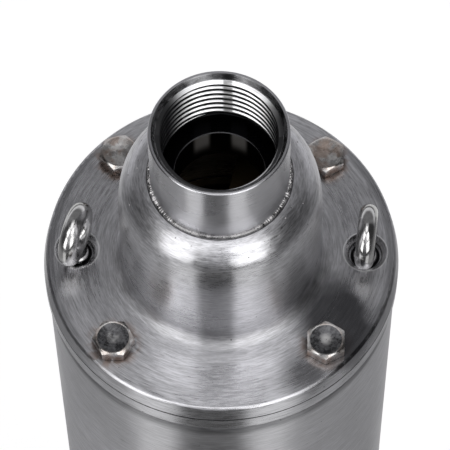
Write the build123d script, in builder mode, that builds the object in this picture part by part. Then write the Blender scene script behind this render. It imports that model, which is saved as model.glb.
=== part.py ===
from build123d import *
import os
from math import acos, asin, cos, degrees, radians, sin, sqrt

# Borehole submersible pump, standing on its motor end.
# Millimetres, +Z up, origin on the pump's axis at the underside of the motor base.

os.makedirs("parts", exist_ok=True)

# Outside sizes
tube_radius = 48.4
tube_wall = 2.0
rim_lip = 0.6
motor_step = 0.9
shell_wall = 1.5

# Clearances
bush_play = 0.05
running_gap = 0.4
seat_gap = 0.3
water_film = 0.05
bolt_gap = 0.3

# Motor base and pressure diaphragm
base_floor = 9.0
base_spigot = 13.0
base_wall = 4.0
base_round = 5.0
vent_radius = 1.5
vent_circle = 15.0
vent_count = 4
diaphragm_rim = 2.5
diaphragm_skin = 2.0
diaphragm_depth = 9.0
diaphragm_gap = 6.0

# Thrust bearing
thrust_plate = 7.0
thrust_cup_radius = 25.0
thrust_cup_wall = 4.0
thrust_headroom = 2.0
thrust_ring_height = 4.0
thrust_disc_radius = 22.0
thrust_disc_height = 8.0
pad_height = 4.0
pad_bore = 11.0
pad_count = 6
pad_split = 3.0
balance_hole_radius = 1.5
balance_hole_count = 4

# Journal bearings, stator and rotor
journal_plate = 7.0
hub_clearance = 2.0
bush_wall = 4.0
hub_wall = 3.5
liner_wall = 0.8
air_gap = 0.5
rotor_radius = 22.0
rotor_stagger = 1.0
core_length = 100.0
winding_height = 15.0
winding_gap = 3.0
winding_round = 3.0
slot_count = 12
slot_width = 6.0
slot_inset = 2.2
slot_depth = 11.0
end_ring_height = 5.0
end_ring_width = 5.5
end_ring_inset = 1.5

# Motor top bracket
bracket_spigot = 26.0
bracket_flange = 18.0
pilot_inset = 3.85
pilot_height = 3.0
bracket_cavity_depth = 18.0
bracket_cavity_wall = 6.0
seal_step = 2.0
seal_height = 8.0
seal_wall = 6.0
plug_radius = 3.0
plug_inset = 23.5
plug_depth = 8.0
plug_head_radius = 4.5
plug_head_height = 2.0

# Motor shaft
shaft_radius = 9.0
rotor_shaft_radius = 12.0
thrust_journal_radius = 8.0
spline_root_radius = 6.6
spline_tip_radius = 7.75
spline_teeth = 14
spline_tooth_width = 1.7
shaft_stand = 31.0
slinger_radius = 14.0
slinger_height = 3.0
slinger_lift = 1.0

# Studs and nuts between motor and pump
stud_radius = 4.0
stud_inset = 9.4
stud_count = 4
stud_first = 45.0
stud_depth = 12.0
stud_tip = 2.0
nut_across = 13.0
nut_height = 6.5

# Cable inlet at the back of the motor's top
inlet_inset = 6.7
gland_thread_radius = 5.0
gland_head_radius = 6.2
gland_clearance = 0.5
gland_depth = 12.0
gland_bore_radius = 3.6
lead_hole_radius = 0.9
lead_spacing = 2.2
lead_count = 3

# Suction bracket and strainer
suction_flange = 8.0
suction_rim = 17.5
suction_height = 80.0
suction_shoulder = 4.0
suction_spigot = 8.0
suction_throat = 21.0
pillar_angles = (0, 65, 115, 180, 270)
pillar_width = 7.0
pillar_depth = 10.0
strainer_inset = 0.3
strainer_sheet = 0.8
notch_width = 16.0
notch_depth = 14.5
strainer_notch_depth = 10.0
slot_rows = 3
slots_around = 24
strainer_slot_width = 2.6
strainer_slot_height = 13.0
slot_row_gap = 5.0

# Coupling and pump shaft
coupling_radius = 13.5
coupling_lift = 2.0
coupling_length = 52.0
hex_across = 11.0
shaft_end_gap = 1.0
carrier_journal_radius = 4.5
shaft_nut_across = 17.0
shaft_nut_height = 6.0

# Pump stages
stage_count = 5
stage_pitch = 29.0
bowl_wall = 3.5
bowl_floor = 2.0
eye_radius = 15.5
eye_ring = 1.6
impeller_inset = 6.6
impeller_hub_radius = 9.5
impeller_lift = 1.2
shroud = 1.6
impeller_channel = 6.0
impeller_vanes = 6
impeller_vane = 1.6
impeller_sweep = 62.0
vane_start = 13.0
return_gap = 1.6
return_plate = 2.0
return_gutter = 4.8
return_vanes = 7
return_vane = 1.8
return_sweep = 48.0
diffuser_sweep = 9.0
diffuser_lift = 3.0
vane_root = 0.4
stage_bush_wall = 3.0
stage_bush_height = 10.0
stage_bush_rim = 2.5

# Bearing carrier above the last stage
carrier_height = 20.0
carrier_arms = 4
arm_width = 8.0
arm_height = 8.0
carrier_hub_wall = 4.0

# Casing head and the rolled end of the casing tube
ring_height = 5.7
ring_round = 0.8
head_spigot = 23.6
seam_break = 0.3
neck_drop = 6.5
neck_inset = 3.8
head_ledge = 3.0
head_cone = 11.0
lip_gap = 0.9
lip_bend = 5.0
lip_angle = 55.0

# Discharge cover: a flat lid with a tall dome
lid_edge = 4.85
lid_draft = 0.9
lid_round = 1.0
lid_width = 21.6
dome_straight = 26.7
dome_lean_radius = 60.0
dome_lean = 9.2
dome_foot_round = 3.5
dome_wall = 3.0
neck_ledge = 4.4
neck_bore = 12.0
neck_length = 11.0
register_height = 1.3

# Outlet socket for a G1 pipe thread, and its weld
socket_radius = 18.4
socket_length = 22.7
thread_minor_radius = 15.146
thread_length = 17.5
relief_radius = 16.7
mouth_chamfer = 2.05
socket_edge = 0.4
bead_width = 1.3
bead_height = 1.3
bead_crown = 0.25

# Cover bolts and lifting eyes
cover_bolt_radius = 3.0
cover_bolt_inset = 8.4
cover_bolt_count = 4
cover_bolt_first = 45.0
cover_bolt_across = 10.0
cover_bolt_head = 4.0
cover_bolt_length = 16.0
tapped_extra = 2.0
lifting_eye_inset = 9.3
lifting_ring_radius = 6.5
lifting_rod_radius = 2.6
lifting_ring_height = 8.85
lifting_shank_radius = 3.0
lifting_shank_length = 15.0
lifting_neck_inset = 0.2
lifting_collar_radius = 4.1
lifting_collar_height = 2.0
pocket_gap = 0.4
pocket_depth = 2.6
pocket_chamfer = 1.5
left_eye_turn = -17.0
right_eye_turn = -6.0

# Check valve in the cover
seat_thickness = 4.0
seat_inset = 17.0
seat_margin = 10.4
seat_lip = 2.5
seat_lip_height = 1.0
valve_seal_height = 1.5
valve_seal_inset = 1.0
poppet_overlap = 1.0
poppet_plate = 2.0
stem_radius = 3.0
stem_stand = 2.0
cage_height = 22.0
cage_gap = 0.3
cage_wall = 2.2
cage_ring = 3.0
cage_top_plate = 3.0
cage_windows = 3
window_angle = 84.0
guide_hub_radius = 6.0
guide_length = 9.0
spring_wire = 0.6
spring_radius = 9.0
spring_turns = 4
o_ring_inset = 14.25
o_ring_width = 2.3
o_ring_height = 1.9

# Cable guard on the back of the pump
guard_width = 20.0
guard_depth = 5.0
guard_sheet = 1.0
guard_foot = 7.0
guard_round = 1.0
guard_start = 4.0
guard_end_gap = 15.6
guard_screw_radius = 2.0
guard_screw_head = 3.3
guard_screw_head_height = 1.8
guard_screw_inset = 10.0

# Radii worked out from the sizes above
rim_radius = tube_radius + rim_lip
motor_radius = tube_radius - motor_step
tube_bore = tube_radius - tube_wall
shell_bore = motor_radius - shell_wall
bowl_radius = tube_bore - seat_gap
bowl_bore = bowl_radius - bowl_wall
diaphragm_radius = shell_bore - base_wall - diaphragm_gap
bracket_cavity_radius = shell_bore - bracket_cavity_wall
pilot_radius = motor_radius - pilot_inset
stud_circle = motor_radius - stud_inset
inlet_offset = motor_radius - inlet_inset
plug_offset = motor_radius - plug_inset
suction_bore = motor_radius - suction_rim
notch_floor = motor_radius - notch_depth
strainer_notch_floor = motor_radius - strainer_notch_depth
journal_radius = shaft_radius + bush_play
journal_outer = journal_radius + bush_wall
journal_hub_radius = journal_outer + hub_wall
seal_outer = journal_radius + seal_wall
liner_bore = rotor_radius + air_gap
stator_bore = liner_bore + liner_wall
slot_inner = stator_bore + slot_inset
slot_middle = slot_inner + slot_depth / 2
strainer_radius = motor_radius - strainer_inset
strainer_bore = strainer_radius - strainer_sheet
impeller_radius = bowl_bore - impeller_inset
eye_skirt = eye_radius + eye_ring
floor_bore = eye_skirt + running_gap
stage_bush_bore = impeller_hub_radius + bush_play
stage_bush_radius = stage_bush_bore + stage_bush_wall
return_hub_radius = stage_bush_radius + stage_bush_rim
return_radius = bowl_bore - return_gutter
carrier_bush_bore = carrier_journal_radius + bush_play
carrier_bush_radius = carrier_bush_bore + stage_bush_wall
carrier_hub_radius = carrier_bush_radius + carrier_hub_wall
neck_radius = tube_radius - neck_inset
seat_radius = rim_radius - seat_inset
head_bore = seat_radius - head_ledge
o_ring_radius = rim_radius - o_ring_inset
cover_bolt_circle = rim_radius - cover_bolt_inset
eye_circle = rim_radius - lifting_eye_inset
dome_radius = rim_radius - lid_width
dome_bore = dome_radius - dome_wall
dome_inner_round = dome_bore - neck_bore - neck_ledge
seat_bore = dome_bore - seat_margin
cage_radius = dome_bore - cage_gap
valve_seal_bore = seat_bore - valve_seal_inset
poppet_radius = seat_bore + seat_lip + poppet_overlap
pocket_radius = lifting_collar_radius + pocket_gap
guard_radius = tube_radius + guard_sheet

# Heights of the motor, from the base up
base_top = base_floor + base_spigot
thrust_z = base_top + diaphragm_rim
thrust_floor = thrust_z + thrust_plate
pad_z = thrust_floor + thrust_ring_height
disc_z = pad_z + pad_height + water_film
disc_top = disc_z + thrust_disc_height
journal_z = disc_top + thrust_headroom
winding_z = journal_z + journal_plate + winding_gap
core_z = winding_z + winding_height
core_top = core_z + core_length
rotor_z = core_z + rotor_stagger
rotor_top = core_top - rotor_stagger
journal_top = rotor_z - end_ring_height - hub_clearance
bracket_z = core_top + winding_height + winding_gap
shell_top = bracket_z + bracket_spigot
seal_z = shell_top + seal_step
motor_top = shell_top + bracket_flange
pilot_top = motor_top + pilot_height
slinger_z = pilot_top + slinger_lift
spline_z = slinger_z + slinger_height
shaft_top = motor_top + shaft_stand

# Heights of the pump end, from the motor up
flange_top = motor_top + suction_flange
stack_z = motor_top + suction_height
tube_z = stack_z - suction_spigot
shoulder_z = tube_z - suction_shoulder
coupling_z = spline_z + coupling_lift
coupling_top = coupling_z + coupling_length
pump_shaft_z = shaft_top + shaft_end_gap
stack_top = stack_z + stage_count * stage_pitch
head_z = stack_top + carrier_height
arm_z = head_z - arm_height
ring_z = head_z + head_spigot
head_top = ring_z + ring_height
lid_top = head_top + lid_edge

# Heights inside one stage, from the floor of its bowl
shroud_z = bowl_floor + impeller_lift
channel_z = shroud_z + shroud
top_shroud_z = channel_z + impeller_channel
impeller_top = top_shroud_z + shroud
return_z = impeller_top + return_gap
return_top = return_z + return_plate
hub_z = stack_z + channel_z
hub_top = stack_top + channel_z
shaft_nut_top = hub_top + shaft_nut_height

# Shoulder of the dome: a long lean, then a round that ends under the socket
lean_end_radius = dome_radius - dome_lean_radius * (1 - cos(radians(dome_lean)))
lean_end_z = lid_top + dome_straight + dome_lean_radius * sin(radians(dome_lean))
shoulder_round = (lean_end_radius - socket_radius) / cos(radians(dome_lean))
shoulder_centre_z = lean_end_z - shoulder_round * sin(radians(dome_lean))
dome_top = shoulder_centre_z + shoulder_round
ledge_z = dome_top + register_height
socket_top = dome_top + socket_length

# Heights of the check valve
seat_top = head_top + seat_lip_height
plate_z = seat_top + valve_seal_height
plate_top = plate_z + poppet_plate
cage_top = head_top + cage_height
cage_plate_z = cage_top - cage_top_plate
guide_z = cage_top - guide_length

# Cover fasteners and guard screws
tapped_depth = cover_bolt_length - lid_edge + tapped_extra
guard_z = motor_top + guard_start
guard_top = ring_z - guard_end_gap
guard_screw_turn = degrees(asin((guard_width / 2 + guard_sheet + guard_foot / 2) / guard_radius))
guard_screw_heights = (tube_z + guard_screw_inset, guard_top - guard_screw_inset)


def outline(*points):
    """Face in the plane through the axis, from (radius, height) corners."""
    with BuildSketch(Plane.XZ) as section:
        with BuildLine():
            Polyline(*points, close=True)
        make_face()
    return section.sketch


def band(inner, outer, low, high):
    """Section of a plain turned ring."""
    return outline((inner, low), (outer, low), (outer, high), (inner, high))


def polar(radius, angle):
    """Point at a radius and an angle in degrees."""
    return (radius * cos(radians(angle)), radius * sin(radians(angle)))


def vane(inner, outer, sweep, thickness):
    """Face of one curved vane that leaves the hub straight out and bends by the sweep."""
    start = degrees(thickness / inner)
    end = degrees(thickness / outer)
    with BuildSketch() as blade:
        with BuildLine():
            TangentArc(polar(inner, 0), polar(outer, sweep), tangent=polar(1, 0))
            Line(polar(outer, sweep), polar(outer, sweep + end))
            TangentArc(polar(inner, start), polar(outer, sweep + end), tangent=polar(1, start))
            Line(polar(inner, start), polar(inner, 0))
        make_face()
    return blade.sketch


def spline_section():
    """Section of the splined end of the motor shaft."""
    with BuildSketch() as section:
        Circle(spline_root_radius)
        with PolarLocations(spline_root_radius, spline_teeth):
            Rectangle(2 * (spline_tip_radius - spline_root_radius), spline_tooth_width)
    return section.sketch


def guard_screw_planes():
    """Planes on the guard's feet, square to the axis of each guard screw."""
    planes = []
    for height in guard_screw_heights:
        for turn in (90 - guard_screw_turn, 90 + guard_screw_turn):
            x, y = polar(guard_radius, turn)
            planes.append(Plane((x, y, height), z_dir=(x, y, 0)))
    return planes


def save(piece, name):
    """Name a finished piece and write it."""
    piece.label = name
    export_step(piece, f"parts/{name}.step")


# Motor base: a flat foot whose spigot fills the lower end of the shell
with BuildPart() as motor_base:
    revolve(outline(
        (0, 0), (motor_radius, 0), (motor_radius, base_floor), (shell_bore, base_floor),
        (shell_bore, base_top), (shell_bore - base_wall, base_top),
        (shell_bore - base_wall, base_floor), (0, base_floor),
    ), axis=Axis.Z)
    fillet(motor_base.edges().group_by(Axis.Z)[0].sort_by(SortBy.RADIUS)[-1], base_round)
    with BuildSketch():
        with PolarLocations(vent_circle, vent_count):
            Circle(vent_radius)
    extrude(amount=base_floor, mode=Mode.SUBTRACT)
save(motor_base.part, "motor_base")

# Pressure diaphragm: a rubber cup held by its rim
with BuildPart() as pressure_diaphragm:
    cup_low = base_top - diaphragm_depth
    cup_bore = diaphragm_radius - diaphragm_skin
    revolve(outline(
        (0, cup_low), (diaphragm_radius, cup_low), (diaphragm_radius, base_top),
        (shell_bore, base_top), (shell_bore, thrust_z), (cup_bore, thrust_z),
        (cup_bore, cup_low + diaphragm_skin), (0, cup_low + diaphragm_skin),
    ), axis=Axis.Z)
save(pressure_diaphragm.part, "pressure_diaphragm")

# Thrust housing: a plate with a cup for the thrust bearing, and holes that pass the pressure
with BuildPart() as thrust_housing:
    cup_outer = thrust_cup_radius + thrust_cup_wall
    revolve(outline(
        (0, thrust_z), (shell_bore, thrust_z), (shell_bore, thrust_floor),
        (cup_outer, thrust_floor), (cup_outer, journal_z), (thrust_cup_radius, journal_z),
        (thrust_cup_radius, thrust_floor), (0, thrust_floor),
    ), axis=Axis.Z)
    with BuildSketch(Plane.XY.offset(thrust_z)):
        with PolarLocations((cup_outer + diaphragm_radius - diaphragm_skin) / 2, balance_hole_count):
            Circle(balance_hole_radius)
    extrude(amount=thrust_plate, mode=Mode.SUBTRACT)
save(thrust_housing.part, "thrust_housing")

# Thrust ring, tilting pads and the disc that runs on them
with BuildPart() as thrust_ring:
    revolve(band(pad_bore, thrust_cup_radius, thrust_floor, pad_z), axis=Axis.Z)
save(thrust_ring.part, "thrust_ring")

with BuildPart() as thrust_pads:
    with BuildSketch(Plane.XY.offset(pad_z)):
        Circle(thrust_disc_radius)
        Circle(pad_bore, mode=Mode.SUBTRACT)
        with PolarLocations(thrust_disc_radius / 2, pad_count):
            Rectangle(thrust_disc_radius + pad_split, pad_split, mode=Mode.SUBTRACT)
    extrude(amount=pad_height)
save(thrust_pads.part, "thrust_pads")

with BuildPart() as thrust_disc:
    revolve(band(thrust_journal_radius, thrust_disc_radius, disc_z, disc_top), axis=Axis.Z)
save(thrust_disc.part, "thrust_disc")

# Lower bearing plate and its bush
with BuildPart() as lower_bearing_plate:
    plate_upper = journal_z + journal_plate
    revolve(outline(
        (journal_outer, journal_z), (shell_bore, journal_z), (shell_bore, plate_upper),
        (journal_hub_radius, plate_upper), (journal_hub_radius, journal_top),
        (journal_outer, journal_top),
    ), axis=Axis.Z)
save(lower_bearing_plate.part, "lower_bearing_plate")

with BuildPart() as lower_bush:
    revolve(band(journal_radius, journal_outer, journal_z, journal_top), axis=Axis.Z)
save(lower_bush.part, "lower_bush")

# Motor shell
with BuildPart() as motor_shell:
    revolve(band(shell_bore, motor_radius, base_floor, shell_top), axis=Axis.Z)
save(motor_shell.part, "motor_shell")

# Stator: slotted core, windings with their end turns, and the liner that seals them
with BuildPart() as stator_core:
    with BuildSketch(Plane.XY.offset(core_z)):
        Circle(shell_bore)
        Circle(stator_bore, mode=Mode.SUBTRACT)
        with PolarLocations(slot_middle, slot_count):
            Rectangle(slot_depth, slot_width, mode=Mode.SUBTRACT)
    extrude(amount=core_length)
save(stator_core.part, "stator_core")

with BuildPart() as stator_windings:
    for low in (winding_z, core_top):
        revolve(band(slot_inner, slot_inner + slot_depth, low, low + winding_height), axis=Axis.Z)
    fillet(stator_windings.edges().group_by(Axis.Z)[0], winding_round)
    fillet(stator_windings.edges().group_by(Axis.Z)[-1], winding_round)
    with BuildSketch(Plane.XY.offset(core_z)):
        with PolarLocations(slot_middle, slot_count):
            Rectangle(slot_depth, slot_width)
    extrude(amount=core_length)
save(stator_windings.part, "stator_windings")

with BuildPart() as stator_liner:
    revolve(band(liner_bore, stator_bore, journal_z + journal_plate, bracket_z), axis=Axis.Z)
save(stator_liner.part, "stator_liner")

# Rotor: laminated core, end rings and the shaft
with BuildPart() as rotor_core:
    revolve(band(rotor_shaft_radius, rotor_radius, rotor_z, rotor_top), axis=Axis.Z)
save(rotor_core.part, "rotor_core")

with BuildPart() as rotor_end_rings:
    end_ring_outer = rotor_radius - end_ring_inset
    for low in (rotor_z - end_ring_height, rotor_top):
        revolve(
            band(end_ring_outer - end_ring_width, end_ring_outer, low, low + end_ring_height),
            axis=Axis.Z,
        )
save(rotor_end_rings.part, "rotor_end_rings")

with BuildPart() as motor_shaft:
    revolve(outline(
        (0, disc_z), (thrust_journal_radius, disc_z), (thrust_journal_radius, disc_top),
        (shaft_radius, disc_top), (shaft_radius, rotor_z - end_ring_height),
        (rotor_shaft_radius, rotor_z - end_ring_height),
        (rotor_shaft_radius, rotor_top + end_ring_height),
        (shaft_radius, rotor_top + end_ring_height), (shaft_radius, spline_z), (0, spline_z),
    ), axis=Axis.Z)
    with BuildSketch(Plane.XY.offset(spline_z)):
        add(spline_section())
    extrude(amount=shaft_top - spline_z)
save(motor_shaft.part, "motor_shaft")

# Motor top bracket: upper bearing, seal pocket, pilot, stud holes, cable inlet and filling hole
with BuildPart() as motor_top_bracket:
    cavity_top = bracket_z + bracket_cavity_depth
    revolve(outline(
        (journal_outer, bracket_z), (journal_hub_radius, bracket_z),
        (journal_hub_radius, cavity_top), (bracket_cavity_radius, cavity_top),
        (bracket_cavity_radius, bracket_z), (shell_bore, bracket_z), (shell_bore, shell_top),
        (motor_radius, shell_top), (motor_radius, motor_top), (pilot_radius, motor_top),
        (pilot_radius, pilot_top), (seal_outer, pilot_top), (seal_outer, seal_z),
        (journal_outer, seal_z),
    ), axis=Axis.Z)
    with BuildSketch(Plane.XY.offset(motor_top - stud_depth)):
        with PolarLocations(stud_circle, stud_count, stud_first):
            Circle(stud_radius)
    extrude(amount=stud_depth + pilot_height, mode=Mode.SUBTRACT)
    with BuildSketch(Plane.XY.offset(pilot_top)):
        with Locations((0, inlet_offset)):
            Circle(gland_thread_radius)
    extrude(amount=-gland_depth, mode=Mode.SUBTRACT)
    with BuildSketch(Plane.XY.offset(pilot_top)):
        with Locations((0, -plug_offset)):
            Circle(plug_radius)
    extrude(amount=-plug_depth, mode=Mode.SUBTRACT)
save(motor_top_bracket.part, "motor_top_bracket")

with BuildPart() as upper_bush:
    revolve(band(journal_radius, journal_outer, bracket_z, seal_z), axis=Axis.Z)
save(upper_bush.part, "upper_bush")

with BuildPart() as shaft_seal:
    revolve(band(journal_radius, seal_outer, seal_z, seal_z + seal_height), axis=Axis.Z)
save(shaft_seal.part, "shaft_seal")

with BuildPart() as sand_slinger:
    revolve(band(shaft_radius, slinger_radius, slinger_z, spline_z), axis=Axis.Z)
save(sand_slinger.part, "sand_slinger")

with BuildPart() as filling_plug:
    with BuildSketch(Plane.XY.offset(pilot_top)):
        with Locations((0, -plug_offset)):
            Circle(plug_radius)
    extrude(amount=-plug_depth)
    with BuildSketch(Plane.XY.offset(pilot_top)):
        with Locations((0, -plug_offset)):
            Circle(plug_head_radius)
    extrude(amount=plug_head_height)
save(filling_plug.part, "filling_plug")

# Studs and nuts that hold the pump on the motor
with BuildPart() as motor_studs:
    with BuildSketch(Plane.XY.offset(motor_top - stud_depth)):
        with PolarLocations(stud_circle, stud_count, stud_first):
            Circle(stud_radius)
    extrude(amount=stud_depth + suction_flange + nut_height + stud_tip)
save(motor_studs.part, "motor_studs")

with BuildPart() as motor_nuts:
    with BuildSketch(Plane.XY.offset(flange_top)):
        with PolarLocations(stud_circle, stud_count, stud_first):
            RegularPolygon(nut_across / 2, 6, major_radius=False)
            Circle(stud_radius, mode=Mode.SUBTRACT)
    extrude(amount=nut_height)
save(motor_nuts.part, "motor_nuts")

# Cable inlet: a screwed gland with a rubber grommet for the leads
with BuildPart() as cable_gland:
    with BuildSketch(Plane.XY.offset(pilot_top)):
        with Locations((0, inlet_offset)):
            Circle(gland_thread_radius)
            Circle(gland_bore_radius, mode=Mode.SUBTRACT)
    extrude(amount=-gland_depth)
    with BuildSketch(Plane.XY.offset(pilot_top)):
        with Locations((0, inlet_offset)):
            Circle(gland_head_radius)
            Circle(gland_bore_radius, mode=Mode.SUBTRACT)
    extrude(amount=flange_top - gland_clearance - pilot_top)
save(cable_gland.part, "cable_gland")

with BuildPart() as gland_grommet:
    with BuildSketch(Plane.XY.offset(pilot_top - gland_depth)):
        with Locations((0, inlet_offset)):
            Circle(gland_bore_radius)
            with GridLocations(lead_spacing, 0, lead_count, 1):
                Circle(lead_hole_radius, mode=Mode.SUBTRACT)
    extrude(amount=gland_depth + flange_top - gland_clearance - pilot_top)
save(gland_grommet.part, "gland_grommet")

# Suction bracket: flange on the motor, pillars, and the ring that carries the pump casing
with BuildPart() as suction_bracket:
    revolve(outline(
        (suction_bore, pilot_top), (pilot_radius + bush_play, pilot_top),
        (pilot_radius + bush_play, motor_top), (motor_radius, motor_top),
        (motor_radius, flange_top), (suction_bore, flange_top),
    ), axis=Axis.Z)
    revolve(outline(
        (suction_bore, shoulder_z), (tube_radius, shoulder_z), (tube_radius, tube_z),
        (tube_bore, tube_z), (tube_bore, stack_z), (suction_throat, stack_z),
    ), axis=Axis.Z)
    pillar_outer = sqrt(strainer_bore**2 - (pillar_width / 2) ** 2)
    with BuildSketch(Plane.XY.offset(flange_top)):
        for pillar_angle in pillar_angles:
            with PolarLocations(pillar_outer - pillar_depth / 2, 1, pillar_angle):
                Rectangle(pillar_depth, pillar_width)
    extrude(amount=shoulder_z - flange_top)
    with BuildSketch(Plane.XY.offset(motor_top)):
        with PolarLocations(stud_circle, stud_count, stud_first):
            Circle(stud_radius + bolt_gap)
        with Locations((0, notch_floor)):
            Rectangle(notch_width, motor_radius, align=(Align.CENTER, Align.MIN))
    extrude(amount=suction_flange, mode=Mode.SUBTRACT)
save(suction_bracket.part, "suction_bracket")

# Strainer: a slotted sheet round the pillars, stepped in behind the cable
with BuildPart() as strainer:
    with BuildSketch(Plane.XY.offset(flange_top)):
        Circle(strainer_radius)
        with Locations((0, strainer_notch_floor)):
            Rectangle(notch_width, motor_radius, align=(Align.CENTER, Align.MIN), mode=Mode.SUBTRACT)
    extrude(amount=shoulder_z - flange_top)
    with BuildSketch(Plane.XY.offset(flange_top)):
        Circle(strainer_bore)
        with Locations((0, strainer_notch_floor - strainer_sheet)):
            Rectangle(
                notch_width + 2 * strainer_sheet, motor_radius,
                align=(Align.CENTER, Align.MIN), mode=Mode.SUBTRACT,
            )
    extrude(amount=shoulder_z - flange_top, mode=Mode.SUBTRACT)
    slot_angle = 360 / slots_around
    notch_reach = degrees(asin((notch_width / 2 + strainer_slot_width) / strainer_notch_floor))
    slots_height = slot_rows * (strainer_slot_height + slot_row_gap) - slot_row_gap
    first_slot_z = (flange_top + shoulder_z - slots_height) / 2
    for row in range(slot_rows):
        row_z = first_slot_z + row * (strainer_slot_height + slot_row_gap)
        with BuildSketch(Plane.XY.offset(row_z)):
            for index in range(slots_around):
                turn = index * slot_angle + slot_angle / 2
                if abs(turn - 90) > notch_reach:
                    with PolarLocations(strainer_radius, 1, turn):
                        Rectangle(4 * strainer_sheet, strainer_slot_width)
        extrude(amount=strainer_slot_height, mode=Mode.SUBTRACT)
save(strainer.part, "strainer")

# Coupling: splined on the motor shaft below, hexagonal on the pump shaft above
with BuildPart() as shaft_coupling:
    revolve(band(0, coupling_radius, coupling_z, coupling_top), axis=Axis.Z)
    with BuildSketch(Plane.XY.offset(coupling_z)):
        add(spline_section())
    extrude(amount=shaft_top - coupling_z, mode=Mode.SUBTRACT)
    with BuildSketch(Plane.XY.offset(shaft_top)):
        RegularPolygon(hex_across / 2, 6, major_radius=False)
    extrude(amount=coupling_top - shaft_top, mode=Mode.SUBTRACT)
save(shaft_coupling.part, "shaft_coupling")

# Spacer sleeve: carries the stack of impeller hubs on the coupling
with BuildPart() as spacer_sleeve:
    with BuildSketch(Plane.XY.offset(coupling_top)):
        Circle(impeller_hub_radius)
        RegularPolygon(hex_across / 2, 6, major_radius=False, mode=Mode.SUBTRACT)
    extrude(amount=hub_z - coupling_top)
save(spacer_sleeve.part, "spacer_sleeve")

# Pump shaft: a hexagonal bar with a round journal at the top
with BuildPart() as pump_shaft:
    with BuildSketch(Plane.XY.offset(pump_shaft_z)):
        RegularPolygon(hex_across / 2, 6, major_radius=False)
    extrude(amount=shaft_nut_top - pump_shaft_z)
    revolve(band(0, carrier_journal_radius, shaft_nut_top, head_z), axis=Axis.Z)
save(pump_shaft.part, "pump_shaft")

with BuildPart() as shaft_nut:
    with BuildSketch(Plane.XY.offset(hub_top)):
        RegularPolygon(shaft_nut_across / 2, 6, major_radius=False)
        RegularPolygon(hex_across / 2, 6, major_radius=False, mode=Mode.SUBTRACT)
    extrude(amount=shaft_nut_height)
save(shaft_nut.part, "shaft_nut")

# Impeller of the first stage: two shrouds with curved vanes between them, and a long hub
with BuildPart() as impeller:
    revolve(outline(
        (eye_radius, stack_z), (eye_skirt, stack_z), (eye_skirt, stack_z + shroud_z),
        (impeller_radius, stack_z + shroud_z), (impeller_radius, hub_z), (eye_radius, hub_z),
    ), axis=Axis.Z)
    with BuildSketch(Plane.XY.offset(hub_z)):
        with PolarLocations(0, impeller_vanes):
            add(vane(vane_start, impeller_radius, impeller_sweep, impeller_vane))
        Circle(impeller_radius, mode=Mode.INTERSECT)
    extrude(amount=impeller_channel)
    revolve(
        band(0, impeller_radius, stack_z + top_shroud_z, stack_z + impeller_top), axis=Axis.Z
    )
    revolve(band(0, impeller_hub_radius, hub_z, hub_z + stage_pitch), axis=Axis.Z)
    with BuildSketch(Plane.XY.offset(hub_z)):
        RegularPolygon(hex_across / 2, 6, major_radius=False)
    extrude(amount=stage_pitch, mode=Mode.SUBTRACT)

# Bowl of the first stage: floor and wall, diffuser vanes round the impeller,
# and a plate whose return vanes lead the water in to the next eye
with BuildPart() as bowl:
    revolve(outline(
        (floor_bore, stack_z), (bowl_radius, stack_z), (bowl_radius, stack_z + stage_pitch),
        (bowl_bore, stack_z + stage_pitch), (bowl_bore, stack_z + bowl_floor),
        (floor_bore, stack_z + bowl_floor),
    ), axis=Axis.Z)
    revolve(outline(
        (stage_bush_radius, stack_z + return_z), (return_radius, stack_z + return_z),
        (return_radius, stack_z + return_top), (return_hub_radius, stack_z + return_top),
        (return_hub_radius, stack_z + return_z + stage_bush_height),
        (stage_bush_radius, stack_z + return_z + stage_bush_height),
    ), axis=Axis.Z)
    with BuildSketch(Plane.XY.offset(stack_z + return_top)):
        with PolarLocations(0, return_vanes):
            add(vane(return_hub_radius - vane_root, bowl_bore + vane_root, return_sweep, return_vane))
        Circle(bowl_bore + vane_root, mode=Mode.INTERSECT)
    extrude(amount=stage_pitch - return_top)
    with BuildSketch(Plane.XY.offset(stack_z + bowl_floor + diffuser_lift)):
        with PolarLocations(0, return_vanes, return_sweep - diffuser_sweep):
            add(vane(return_radius - vane_root, bowl_bore + vane_root, diffuser_sweep, return_vane))
        Circle(bowl_bore + vane_root, mode=Mode.INTERSECT)
    extrude(amount=return_top - bowl_floor - diffuser_lift)

for index in range(stage_count):
    lift = Location((0, 0, index * stage_pitch))
    save(impeller.part.moved(lift), f"impeller_{index + 1}")
    save(bowl.part.moved(lift), f"bowl_{index + 1}")

with BuildPart() as stage_bushes:
    for index in range(stage_count):
        low = stack_z + index * stage_pitch + return_z
        revolve(band(stage_bush_bore, stage_bush_radius, low, low + stage_bush_height), axis=Axis.Z)
save(stage_bushes.part, "stage_bushes")

# Bearing carrier: clamps the stack under the casing head and holds the top bush
with BuildPart() as bearing_carrier:
    revolve(band(bowl_bore, bowl_radius, stack_top, head_z), axis=Axis.Z)
    with BuildSketch(Plane.XY.offset(arm_z)):
        with PolarLocations(bowl_bore / 2, carrier_arms):
            Rectangle(bowl_bore + 2 * vane_root, arm_width)
        Circle(carrier_hub_radius)
        Circle(carrier_bush_radius, mode=Mode.SUBTRACT)
    extrude(amount=arm_height)
save(bearing_carrier.part, "bearing_carrier")

with BuildPart() as carrier_bush:
    revolve(band(carrier_bush_bore, carrier_bush_radius, arm_z, head_z), axis=Axis.Z)
save(carrier_bush.part, "carrier_bush")

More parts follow.
